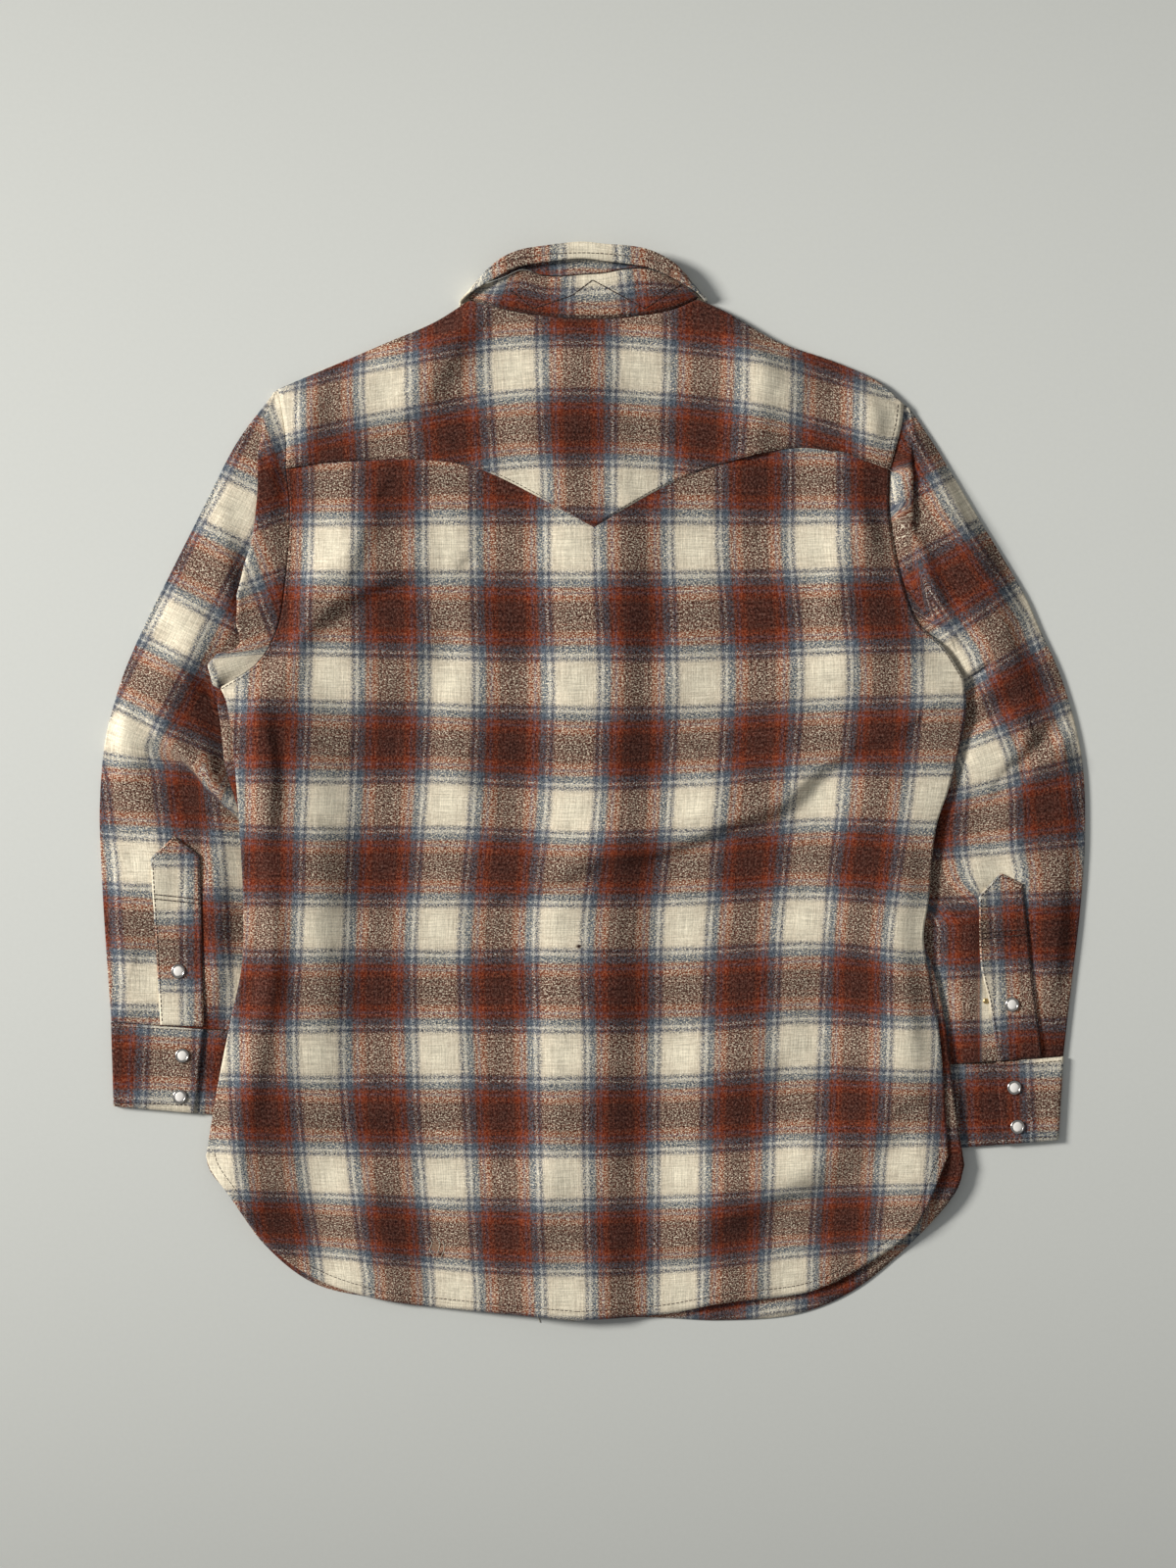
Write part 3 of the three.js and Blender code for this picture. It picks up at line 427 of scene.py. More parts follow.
def by_squares(x, y, table):
    rows = [curve(row, 8) for row in table]
    heights = np.stack([np.interp(x, row[:, 0], row[:, 1]) for row in rows], -1)
    columns = [curve([row[k] for row in table][::-1], 8) for k in range(len(table[0]))]
    places = np.stack([np.interp(y, column[:, 1], column[:, 0]) for column in columns], -1)
    return between(x, places), -between(-y, -heights)


def by_rows(x, y, table):
    """Cloth coordinates of a sleeve from the middles and tilts of its rows of squares."""
    rows = np.array(table, float)
    tilt = np.radians(rows[:, 2])
    gaps = -(x[..., None] - rows[:, 0]) * np.sin(tilt) + (y[..., None] - rows[:, 1]) * np.cos(tilt)
    v = between(np.zeros_like(x), gaps)
    k = np.clip(v, 0, len(rows) - 1)
    number = np.arange(len(rows))
    past = v - k
    angle = np.interp(k, number, tilt)
    middle = [np.interp(k, number, rows[:, i]) for i in (0, 1)]
    middle[0] = middle[0] + past * REPEAT * np.sin(angle)
    middle[1] = middle[1] - past * REPEAT * np.cos(angle)
    u = ((x - middle[0]) * np.cos(angle) + (y - middle[1]) * np.sin(angle)) / REPEAT
    return u, -v


def by_square(x, y, piece):
    px, py, turn = SQUARES[piece]
    a = math.radians(turn)
    return (((x - px) * math.cos(a) + (y - py) * math.sin(a)) / REPEAT,
            ((y - py) * math.cos(a) - (x - px) * math.sin(a)) / REPEAT)


def metres(spots):
    return (np.asarray(spots, float) + SHIFT) / 1000


# Shader helpers
class Value:
    """A number on its way through a material's nodes, so that sums can be written as such."""

    def __init__(self, shade, socket):
        self.shade = shade
        self.socket = socket

    def _with(self, operation, other, swap=False):
        pair = (other, self) if swap else (self, other)
        return self.shade.math(operation, *pair)

    def __add__(self, other):
        return self._with("ADD", other)

    __radd__ = __add__

    def __sub__(self, other):
        return self._with("SUBTRACT", other)

    def __rsub__(self, other):
        return self._with("SUBTRACT", other, True)

    def __mul__(self, other):
        return self._with("MULTIPLY", other)

    __rmul__ = __mul__

    def __truediv__(self, other):
        return self._with("DIVIDE", other)

    def __rtruediv__(self, other):
        return self._with("DIVIDE", other, True)


class Shade:
    def __init__(self, name):
        self.material = bpy.data.materials.new(name)
        self.material.use_nodes = True
        self.tree = self.material.node_tree
        self.tree.nodes.clear()
        self.surface = self.node("ShaderNodeBsdfPrincipled")
        self.tree.links.new(self.surface.outputs[0], self.node("ShaderNodeOutputMaterial").inputs[0])

    def node(self, kind, settings=None, **sockets):
        made = self.tree.nodes.new(kind)
        for key, value in (settings or {}).items():
            setattr(made, key, value)
        for key, value in sockets.items():
            self.put(made.inputs[key.replace("_", " ")], value)
        return made

    def put(self, socket, value):
        if isinstance(value, Value):
            self.tree.links.new(value.socket, socket)
        elif isinstance(value, bpy.types.NodeSocket):
            self.tree.links.new(value, socket)
        else:
            socket.default_value = value

    def math(self, operation, *values, clamp=False):
        made = self.tree.nodes.new("ShaderNodeMath")
        made.operation = operation
        made.use_clamp = clamp
        for socket, value in zip(made.inputs, values):
            self.put(socket, value)
        return Value(self, made.outputs[0])

    def mix(self, factor, a, b, blend="MIX"):
        made = self.tree.nodes.new("ShaderNodeMix")
        made.data_type = "RGBA"
        made.blend_type = blend
        made.clamp_factor = True
        self.put(made.inputs[0], factor)
        self.put(made.inputs[6], a)
        self.put(made.inputs[7], b)
        return made.outputs[2]

    def noise(self, vector, scale, detail=2.0, rough=0.5):
        made = self.node("ShaderNodeTexNoise", Vector=vector, Scale=scale, Detail=detail, Roughness=rough)
        return Value(self, made.outputs[0])

    def ramp(self, factor, stops):
        made = self.node("ShaderNodeValToRGB", Fac=factor)
        band = made.color_ramp
        for place, color in stops[1:-1]:
            band.elements.new(place).color = color
        band.elements[0].position, band.elements[0].color = stops[0]
        band.elements[-1].position, band.elements[-1].color = stops[-1]
        return made.outputs[0], Value(self, made.outputs[1])

    def set(self, **sockets):
        for key, value in sockets.items():
            self.put(self.surface.inputs[key.replace("_", " ")], value)


def tone(r, g, b, cover=1.0):
    """A colour as it is seen, each part from 0 to 255. The last node of the cloth turns it into light."""
    return (r / 255, g / 255, b / 255, cover)


def light(r, g, b):
    return tuple(c**2.2 for c in tone(r, g, b)[:3]) + (1,)


# Yarn colours with how well each covers the yarn that it crosses, and the order of the stripes from the
# middle of a cream square to the middle of a dark one
CREAM = tone(214, 205, 182, 0.45)
TAN = tone(200, 188, 166, 0.45)
NAVY = tone(62, 66, 78, 0.75)
WHITE = tone(200, 197, 184, 0.48)
BLUE = tone(76, 84, 93, 0.86)
RUST = tone(109, 49, 27, 0.76)
SLATE = tone(80, 82, 98, 0.75)
UMBER = tone(90, 46, 34, 0.9)
BROWN = tone(66, 38, 30, 1.0)
STRIPES = [
    (0.0, CREAM), (0.13, CREAM), (0.165, TAN), (0.21, CREAM), (0.26, TAN), (0.315, TAN), (0.366, NAVY),
    (0.394, NAVY), (0.416, WHITE), (0.436, WHITE), (0.452, NAVY), (0.475, BLUE), (0.555, BLUE), (0.595, RUST),
    (0.635, RUST), (0.645, SLATE), (0.662, SLATE), (0.672, RUST), (0.75, RUST), (0.81, BROWN), (0.85, BROWN),
    (0.872, UMBER), (0.90, BROWN), (1.0, BROWN),
]


def wool(name, flaws_and_shade=()):
    """Brushed wool twill in a plaid that is the same both ways, with speckled yarn. Each flaw is a place on the table,
    its radius and the colour painted there; a hole's near-black colour is painted shade."""
    shade = Shade(name)
    place = shade.node("ShaderNodeUVMap", {"uv_map": "weave"}).outputs[0]
    scaled = shade.node("ShaderNodeVectorMath", {"operation": "SCALE"}, Scale=REPEAT)
    shade.put(scaled.inputs[0], place)
    yarn = scaled.outputs[0]
    parts = shade.node("ShaderNodeSeparateXYZ", Vector=place)
    u, v = Value(shade, parts.outputs[0]), Value(shade, parts.outputs[1])

    def stretched(x_scale, y_scale):
        return shade.node("ShaderNodeMapping", Vector=yarn, Scale=(x_scale, y_scale, 1)).outputs[0]

    # each yarn strays a little, so the stripes have feathery edges
    stray = (shade.noise(stretched(2.2, 0.7), 1.0, 2.0, 0.6) - 0.5) * 0.11
    sway = (shade.noise(stretched(0.7, 2.2), 1.1, 2.0, 0.6) - 0.5) * 0.11
    bow = (shade.noise(stretched(0.012, 0.012), 1.0, 1.0, 0.5) - 0.5) * 0.03

    def stripes(across, shift):
        spot = shade.math("FRACT", across + shift + bow + 0.5)
        return shade.math("ABSOLUTE", spot - 0.5) * 2

    warp, warp_cover = shade.ramp(stripes(u, stray), STRIPES)
    weft, weft_cover = shade.ramp(stripes(v, sway), STRIPES)
    # fine speckle of the two yarns, with the twill's slant
    floats = shade.noise(stretched(0.58, 1.0), 1.0, 2.0, 0.7)
    picks = shade.noise(stretched(1.0, 0.58), 1.15, 2.0, 0.7)
    slant = shade.node("ShaderNodeMapping", Vector=yarn, Rotation=(0, 0, math.radians(38)), Scale=(0.5, 1.7, 1))
    twill = shade.noise(slant.outputs[0], 1.0, 1.0)
    pepper = (floats - 0.5) * 3.7 + (picks - 0.5) * 3.4 + (twill - 0.5) * 1.6
    share = shade.math("ADD", pepper, (weft_cover - warp_cover) * 0.22 + 0.5, clamp=True)
    weight = weft_cover * share
    cloth = shade.mix(weight / (weight + warp_cover * (1 - share) + 0.001), warp, weft)
    # cloudy wear, thick and thin places of the yarn, and the loose hairs of the nap
    cloud = shade.noise(stretched(1, 1), 0.035, 3.0, 0.55)
    hairs = shade.noise(stretched(0.6, 0.5), 1.0, 3.0, 0.75)
    slubs = shade.noise(stretched(1.1, 0.05), 1.0, 2.0, 0.6) + shade.noise(stretched(0.05, 1.1), 1.0, 2.0, 0.6)
    level = (cloud - 0.5) * 0.22 + (slubs - 1.0) * 0.5 + 1.0
    worn = shade.node("ShaderNodeVectorMath", {"operation": "SCALE"}, Scale=level)
    shade.put(worn.inputs[0], cloth)
    dull = Value(shade, shade.node("ShaderNodeRGBToBW", Color=cloth).outputs[0])
    fuzz = (hairs - 0.5) * (1.1 - dull)
    fleece = shade.node("ShaderNodeVectorMath", {"operation": "ADD"})
    shade.put(fleece.inputs[0], worn.outputs[0])
    shade.put(fleece.inputs[1], shade.node("ShaderNodeCombineXYZ", X=fuzz, Y=fuzz, Z=fuzz).outputs[0])
    color = fleece.outputs[0]
    spot = shade.node("ShaderNodeTexCoord").outputs["Object"]
    # each flaw paints its colour in a round spot; for the hole that colour is painted shade
    for x, y, radius, seen in flaws_and_shade:
        gap = shade.node("ShaderNodeVectorMath", {"operation": "DISTANCE"})
        shade.put(gap.inputs[0], shade.node("ShaderNodeMapping", Vector=spot, Scale=(1, 1, 0)).outputs[0])
        shade.put(gap.inputs[1], tuple(metres((x, y, 0)) * (1, 1, 0)))
        near = Value(shade, gap.outputs["Value"]) * (1000 / radius) + (hairs - 0.5) * 3.0
        inside = shade.math("SUBTRACT", 1.35, near, clamp=True)
        color = shade.mix(inside, color, tone(*seen))
    seen = shade.node("ShaderNodeGamma", Color=color, Gamma=2.2).outputs[0]
    nap = shade.node("ShaderNodeBump", Strength=0.4, Distance=0.0006, Height=hairs + floats * 0.8).outputs[0]
    shade.set(Base_Color=seen, Roughness=0.92, Normal=nap, Sheen_Weight=0.12, Sheen_Roughness=0.5,
              Sheen_Tint=(0.95, 0.9, 0.86, 1), Specular_IOR_Level=0.12)
    return shade.material


def thread(name, color):
    shade = Shade(name)
    place = shade.node("ShaderNodeTexCoord").outputs["Object"]
    twist = shade.noise(place, 900.0, 1.0)
    shade.set(Base_Color=shade.mix(twist, light(*(c * 0.75 for c in color)), light(*color)), Roughness=0.8)
    return shade.material


def metal(name, dull, bright):
    shade = Shade(name)
    place = shade.node("ShaderNodeTexCoord").outputs["Object"]
    rub = shade.noise(place, 420.0, 3.0)
    shade.set(Base_Color=shade.mix(rub, dull, bright), Metallic=1.0,
              Roughness=rub * 0.2 + 0.14)
    return shade.material


def pearl(name):
    shade = Shade(name)
    place = shade.node("ShaderNodeTexCoord").outputs["Object"]
    swirl = shade.noise(place, 260.0, 3.0)
    shade.set(Base_Color=shade.mix(swirl, light(206, 201, 194), light(246, 242, 236)), Roughness=0.22,
              Coat_Weight=0.5, Coat_Roughness=0.08)
    return shade.material


WOOL = wool("plaid_wool")
# a small hole, painted as a near-black spot of shade, and a moth-eaten patch with its brown spot
WOOL_WORN_SHADED = wool("plaid_wool_worn_shaded", [(-10.5, -127.5, 1.7, (34, 22, 18)), (-123, -362, 3.4, (128, 104, 86)),
                                     (-118, -368, 2.0, (58, 34, 24))])
THREAD_DARK = thread("thread_dark", (62, 42, 36))
THREAD_PALE = thread("thread_pale", (196, 188, 170))
CHROME = metal("snap_metal", (0.3, 0.285, 0.27, 1), (0.62, 0.6, 0.57, 1))
PEARL = pearl("snap_pearl")
BRASS = metal("snap_brass", (0.5, 0.34, 0.13, 1), (0.75, 0.56, 0.27, 1))


# Making pieces
def keep(name, bm, material, modifiers=()):
    mesh = bpy.data.meshes.new(name)
    bm.to_mesh(mesh)
    bm.free()
    for polygon in mesh.polygons:
        polygon.use_smooth = True
    mesh.materials.append(material)
    piece = bpy.data.objects.new(name, mesh)
    bpy.context.scene.collection.objects.link(piece)
    for kind, settings in modifiers:
        made = piece.modifiers.new(kind.title(), kind)
        for key, value in settings.items():
            setattr(made, key, value)
    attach(piece, "root")
    return piece


def panel(name, x, y, z, weave, thickness=CLOTH, material=WOOL):
    """A sheet of cloth from rows and columns of places, with its plaid."""
    spots = metres(np.stack([x, y, np.maximum(z, thickness / 2 + 0.02)], -1))
    rows, columns = x.shape
    bm = bmesh.new()
    bmesh.ops.create_grid(bm, x_segments=columns - 1, y_segments=rows - 1, size=0.5)
    number = bm.verts.layers.int.new("number")
    for vert in bm.verts:
        c = round((vert.co.x + 0.5) * (columns - 1))
        r = round((vert.co.y + 0.5) * (rows - 1))
        vert[number] = r * columns + c
        vert.co = spots[r, c]
    layer = bm.loops.layers.uv.new("weave")
    flat = np.stack(weave, -1).reshape(-1, 2)
    for face in bm.faces:
        for loop in face.loops:
            loop[layer].uv = flat[loop.vert[number]]
    bmesh.ops.recalc_face_normals(bm, faces=bm.faces)
    return keep(name, bm, material,
                [("SOLIDIFY", {"thickness": thickness / 1000, "offset": 0.0, "use_even_offset": False})])


def surface_of(*pieces):
    """Height in millimetres of the top of some pieces at a place on the table."""
    depsgraph = bpy.context.evaluated_depsgraph_get()
    depsgraph.update()
    trees = [BVHTree.FromObject(piece, depsgraph) for piece in pieces]

    def height(x, y):
        start = Vector((*metres((x, y, 0))[:2], 0.2))
        hits = [tree.ray_cast(start, Vector((0, 0, -1)))[0] for tree in trees]
        found = [hit.z * 1000 for hit in hits if hit]
        return max(found) if found else None

    return height


# Body
back_sides = [edge([0, 0.64, 1], SIDE_LEFT, ARMHOLE_LEFT), edge([0, 0.64, 1], SIDE_RIGHT, ARMHOLE_RIGHT)]
back_hem = edge([0, 0.5, 1], HEM_LEFT, HEM_RIGHT)
yoke_edge = edge([0, 0.5, 1], YOKE_EDGE_LEFT, YOKE_EDGE_RIGHT)
top_edge = edge([0, 0.32, 0.67, 1], SHOULDER_LEFT, NECK, SHOULDER_RIGHT)
yoke_ends = [edge([0, 1], YOKE_END_LEFT), edge([0, 1], YOKE_END_RIGHT)]
front_hem = edge([0, 0.5, 1], FRONT_HEM_LEFT, FRONT_HEM_RIGHT)
front_right_side = edge([0, 0.64, 1], FRONT_SIDE_RIGHT, ARMHOLE_RIGHT)
front_top = edge([0, 0.25, 0.75, 1], SHOULDER_LEFT, FRONT_NECK, SHOULDER_RIGHT)


def make_back():
    s, t = shares(170, 196)
    plan = patch(back_hem, yoke_edge, *back_sides, s, t)
    x, y = plan[..., 0], plan[..., 1]
    under = shares(170, 3)[0]
    strip = yoke_edge(under) + np.stack([0 * under, np.linspace(4, 12, 4)[:, None] + 0 * under], -1)
    x, y = np.vstack([x, strip[..., 0]]), np.vstack([y, strip[..., 1]])
    return panel("back_panel", x, y, back_height(x, y), by_squares(x, y, BACK_SQUARES), material=WOOL_WORN_SHADED)


def make_yoke():
    s, t = shares(140, 46)
    plan = patch(yoke_edge, top_edge, *yoke_ends, s, t)
    x, y = plan[..., 0], plan[..., 1]
    return panel("pointed_yoke", x, y, yoke_height(x, y), by_squares(x, y, YOKE_SQUARES))


def front_weave(x, y):
    u, v = by_squares(x, y, BACK_SQUARES)
    return u + 0.1 + 0.36 * smooth(-262, -276, x) * smooth(-60, -20, y), v + 0.5


def make_front(name, across, lapped):
    s, t = shares(60, 120, across, (0, 0.66))
    lower = patch(front_hem, yoke_edge, back_sides[0], front_right_side, s, t / 0.66)
    s2, t2 = shares(60, 44, across)
    upper = patch(yoke_edge, front_top, *yoke_ends, s2, t2)
    plan = np.vstack([lower, upper[1:]])
    x, y = plan[..., 0], plan[..., 1]
    edge_share = np.clip(1 - np.linspace(*across, 61) / 0.06, 0, 1)
    x = x - edge_share[None, :] * 8 * smooth(-30, 20, y) * (1 - smooth(62, 78, y))
    over = PLY * (1 - smooth(20, 46, np.abs(x - centre_line(y)))) if lapped else 0
    return panel(name, x, y, lift(x, y) + LOWER + over, front_weave(x, y))


def make_band():
    s, t = shares(8, 90, (0.47, 0.53), (0, 0.98))
    plan = patch(front_hem, yoke_edge, back_sides[0], front_right_side, s, t)
    x, y = plan[..., 0], plan[..., 1]
    return panel("snap_band", x, y, lift(x, y) + LOWER - 1.5, by_square(x, y, "band"), 1.0)


# Sleeves: each section runs from the seam over the cap's fold to the outer edge and back underneath
YOKE_CORNER = 244.5
SECTION = {"cap": 14, "over": 4, "back": 4, "under": 4, "main": 60, "turn": 6, "lower": 20}


def sleeve_rows(side):
    spec = SLEEVES[side]
    armhole = {"left": ARMHOLE_LEFT, "right": ARMHOLE_RIGHT}[side]
    end = {"left": YOKE_END_LEFT, "right": YOKE_END_RIGHT}[side]
    seam_line = np.vstack([curve(end)[::-1], curve(armhole)[::-1][1:]])
    cap_rows, tube_rows = 90, 150
    inner = np.vstack([along(seam_line, np.linspace(0, 1, cap_rows + 1)),
                       along(curve(spec["seam"]), np.linspace(0, 1, tube_rows + 1))[1:]])
    outer = np.vstack([along(curve(spec["cap"]), np.linspace(0, 1, cap_rows + 1)),
                       along(curve(spec["outer"]), np.linspace(0, 1, tube_rows + 1))[1:]])
    table = np.array(spec["fold"])
    fold = np.stack([np.interp(np.linspace(0, 1, cap_rows + 1), table[:, 0], table[:, k]) for k in (1, 2)], -1)
    fade = np.exp(-np.arange(1, tube_rows + 1) / 5)[:, None] * [0, fold[-1, 1]] + [fold[-1, 0], 0]
    return inner, outer, np.vstack([fold, fade]), cap_rows


def make_sleeve(side):
    inner, outer, folds, cap_rows = sleeve_rows(side)
    tuck_full, drop = SLEEVES[side]["tuck"], SLEEVES[side]["drop"]
    rows = []
    for k, (seam, rim, (at, turned)) in enumerate(zip(inner, outer, folds)):
        turned = min(max(turned, 0), 1)
        width = float(np.hypot(*(rim - seam)))
        way = (rim - seam) / width
        joined = 1 - smooth(cap_rows * 0.75, cap_rows, k)
        full = smooth(0, 19, k)
        body = yoke_height if seam[1] > YOKE_CORNER else back_height
        seam_top = UPPER + 0.4 + joined * (float(body(*seam)) - 0.9 - UPPER - 0.4)
        at = min(at, width * 0.62)
        puff = 3.4 * full * (1 - 0.45 * smooth(cap_rows, len(inner), k))
        high = max(UPPER + 0.9 + 2 * drop * turned * full + 1.6 * full, seam_top * turned)
        step = drop * turned * full
        forward = (1 - turned) * min(3, width * 0.04) + 0.05
        tuck = turned * min(tuck_full, at * 0.7) - (1 - turned) * 0.3
        end = width - 1.7
        u, z = [], []

        def run(count, u_from, u_to, heights):
            share = np.linspace(0, 1, count, endpoint=False)
            u.extend(u_from + (u_to - u_from) * share)
            z.extend(heights(share))

        top = high
        run(SECTION["cap"], 0, at, lambda h: seam_top + (top - seam_top) * smooth(0, 0.75, h))
        share = np.linspace(0, 1, SECTION["over"], endpoint=False)
        u.extend(at + forward * share + step * np.sin(np.pi * share))
        z.extend(top - step * (1 - np.cos(np.pi * share)))
        start, level = at + forward, top - 2 * step
        run(SECTION["back"], start, start - tuck, lambda h: level + 0 * h)
        start -= tuck
        u.extend(start + forward * share - step * np.sin(np.pi * share))
        z.extend(level - step * (1 - np.cos(np.pi * share)))
        start, level = start + forward, max(level - 2 * step, UPPER)
        settled = UPPER + 0.2

        def main(h):
            crown = puff * (1 - np.exp(-(1 - h) * (end - start) / 9)) * smooth(0.04 * turned - 0.1, 0.4, h)
            return settled + (level - settled) * (1 - smooth(0, 0.4 - 0.3 * turned, h)) + crown

        run(SECTION["main"], start, end, main)
        angle = np.linspace(0, np.pi, SECTION["turn"], endpoint=False)
        u.extend(end + 0.95 * np.sin(angle))
        z.extend((settled + LOWER) / 2 + (settled - LOWER) / 2 * np.cos(angle))
        share = np.linspace(0, 1, SECTION["lower"])
        u.extend(end * (1 - share))
        z.extend(LOWER + 0 * share)
        u, z = np.array(u), np.array(z)
        rows.append(np.column_stack([seam[0] + way[0] * u, seam[1] + way[1] * u, z]))
    spots = np.array(rows)
    x, y, z = (spots[..., i].copy() for i in range(3))
    first_low = sum(SECTION[key] for key in ("cap", "over", "back", "under", "main"))
    column = np.arange(x.shape[1])
    wall = np.clip((first_low - column) / 7, 0, 1)
    gap = np.hypot(x - inner[:, :1], y - inner[:, 1:])
    gap_out = np.hypot(x - outer[:, :1], y - outer[:, 1:])
    settle = smooth(0, 10, gap) * smooth(0, 12, gap_out) * wall[None, :]
    z += np.maximum(relief(x, y, SLEEVE_FOLDS[side]) * FOLD_DEPTH + lumps(x, y, SLEEVE_LUMPS) + 0.5, -1.6) * settle
    # the inner edge lies low under the body below the underarm
    below = np.arange(x.shape[0])[:, None] > cap_rows
    low_edge = UPPER + (z - UPPER) * smooth(4, 34, gap)
    z = np.where(below & (z > UPPER), low_edge, z)

    u, v = by_rows(x, y, SLEEVE_SQUARES[side])
    if side == "left":
        lower_u, lower_v = by_rows(x, y, SLEEVE_SQUARES["left_forearm"])
        lower_v = lower_v - 2
        lower_u = lower_u + 0.14 * smooth(-312, -303, x)
        u = u - 0.2 * smooth(-304, -292, x) * smooth(-60, -30, y) * smooth(92, 70, y)
        past = np.interp(x, [p for p, _ in ELBOW_TUCK], [q for _, q in ELBOW_TUCK]) - y
        reach = np.interp(x, [-385, -325, -310], [34, 6, 0.4])
        below_tuck = smooth(-1, 1, past / reach)
        u = u + (lower_u - u) * below_tuck
        v = v + (lower_v - v) * below_tuck
    if side == "right":
        u = u * (1 + 0.12 * smooth(-60, 10, y))
        u = u + 0.24 * (1 - smooth(8, 18, gap)) * smooth(222, 205, y) * smooth(110, 140, y)
        u = u - 0.35 * smooth(-70, -115, y) * (1 - smooth(298, 306, x))
    cap_u, cap_v = by_square(x, y, f"cap_{side}")
    if side == "left":
        flap = smooth(104, 94, y)
        cap_u, cap_v = cap_u + 0.16 * flap, cap_v - 0.19 * flap
    capped = (column < SECTION["cap"] + SECTION["over"])[None, :]
    over = capped * (np.arange(x.shape[0])[:, None] <= cap_rows)
    over = over * (1 if side == "left" else smooth(0.1, 0.9, folds[:, 1:2]) * smooth(198, 206, y))
    if side == "right":
        crease = over[:, :1] > 0.5
        middle = SECTION["cap"]
        cap_u = cap_u - np.round(np.mean((cap_u - u)[:, middle:middle + 1][crease]))
        cap_v = cap_v - np.round(np.mean((cap_v - v)[:, middle:middle + 1][crease]))
    u = u + (cap_u - u) * over
    v = v + (cap_v - v) * over
    rim = first_low + SECTION["turn"] // 2
    u[:, rim + 1:] = 2 * u[:, rim:rim + 1] - u[:, rim + 1:]
    return panel(f"sleeve_cloth_{side}", x, y, z, (u, v))


def make_cuff(side):
    spec = CUFFS[side]
    levels = [LOWER, UPPER, UPPER + PLY]
    rows = []
    for share in np.linspace(0, 1, 15):
        corner = {key: np.array(spec["top"][key]) * (1 - share) + np.array(spec["bottom"][key]) * share
                  for key in ("outer", "lap", "inner")}
        way = corner["inner"] - corner["outer"]
        width = float(np.hypot(*way))
        way /= width
        lap_at = float(np.hypot(*(corner["lap"] - corner["outer"])))
        wide, narrow = PLY + 0.6, PLY / 2 + 0.6
        bend = np.linspace(0, np.pi, 9)
        u = np.r_[np.linspace(lap_at, wide, 26, endpoint=False), wide - PLY * np.sin(bend),
                  np.linspace(wide, width - narrow, 26)[1:-1], width - narrow + PLY / 2 * np.sin(bend),
                  np.linspace(width - narrow, lap_at - UNDERLAP, 20)[1:]]
        z = np.r_[np.full(26, levels[2]), levels[1] + PLY * np.cos(bend), np.full(24, levels[0]),
                  (levels[0] + levels[1]) / 2 - PLY / 2 * np.cos(bend), np.full(19, levels[1])]
        top = np.arange(len(u)) < 26
        z = z + top * (0.35 * np.sin(np.pi * share) + 0.25 * np.sin(u / 11) * np.sin(np.pi * share))
        rows.append(np.column_stack([corner["outer"][0] + way[0] * u, corner["outer"][1] + way[1] * u, z]))
    spots = np.array(rows)
    x, y, z = (spots[..., i] for i in range(3))
    return panel(f"cuff_cloth_{side}", x, y, z, by_square(x, y, f"cuff_{side}"), 1.3)


def make_placket(side, sleeve):
    spec = PLACKETS[side]
    parts = {key: edge([0, 1], spec[key]) for key in ("bottom", "left", "right")}
    tip = spec["tip"]
    top = edge([0, 0.5, 1], tip[:2], tip[1:])
    s, t = shares(16, 48)
    plan = patch(parts["bottom"], top, parts["left"], parts["right"], s, t)
    x, y = plan[..., 0], plan[..., 1]
    height = surface_of(sleeve)
    z = np.vectorize(lambda a, b: height(a, b) or UPPER)(x, y)
    z = np.maximum(z, z.mean(axis=1, keepdims=True)) + 1.0
    return panel(f"placket_cloth_{side}", x, y, z, by_square(x, y, f"placket_{side}"), 1.2)


# Collar
def stand_stations():
    """Neck seam and top edge of the stand, from the front's middle round the back to the middle again."""
    back = along(curve(NECK), np.linspace(0, 1, 11))
    front = along(curve(FRONT_NECK), np.linspace(0, 1, 11))

    def high(c):
        seam = np.array([*back[c], 0])
        seam[2] = float(yoke_height(seam[0], seam[1])) - 0.4
        lean = seam[0] * 0.88 + COLLAR_CENTRE * 0.12
        top = np.array([lean, seam[1] + STAND_BACK[c], seam[2] + 1.6])
        return seam + [0, 0.5, 0], top

    def corner(c):
        seam, top = high(c)
        return seam + [0.5 * np.sign(COLLAR_CENTRE - seam[0]), 0.8, 0], top

    def low(c, raised):
        z = float(lift(front[c][0], front[c][1])) + LOWER + (PLY if raised and abs(c - 5) <= 1 else 0)
        if c in (0, 10):
            seam, top = corner(c)
            return np.array([*seam[:2], z]), np.array([*top[:2], z])
        seam = front[c]
        inward = np.array([COLLAR_CENTRE - seam[0], 420 - seam[1]])
        inward /= np.hypot(*inward)
        return np.array([*(seam + inward * 0.5), z]), np.array([*(seam + inward * STAND_FRONT), z])

    def turn(start, finish, side):
        stations = []
        for share in (0.25, 0.5, 0.75):
            bulge = np.array([side * (finish[0][2] - start[0][2]) / 2 * math.sin(math.pi * share), 0, 0])
            rise = (1 - math.cos(math.pi * share)) / 2
            stations.append(tuple(a * (1 - rise) + b * rise + bulge for a, b in zip(start, finish)))
        return stations

    left, right = (low(0, False), corner(0)), (low(10, False), corner(10))
    return [*[low(c, False) for c in range(6, 0, -1)], left[0], *turn(*left, -1), left[1],
            *[high(c) for c in range(1, 10)], right[1], *turn(*right, 1)[::-1], right[0],
            *[low(c, True) for c in range(9, 3, -1)]]


def ringed(stations, steps=5):
    """Rails through the stations, evenly stepped between each two."""
    rails = np.array(stations)
    return np.stack([curve(rails[:, k], steps) for k in range(rails.shape[1])], 0)


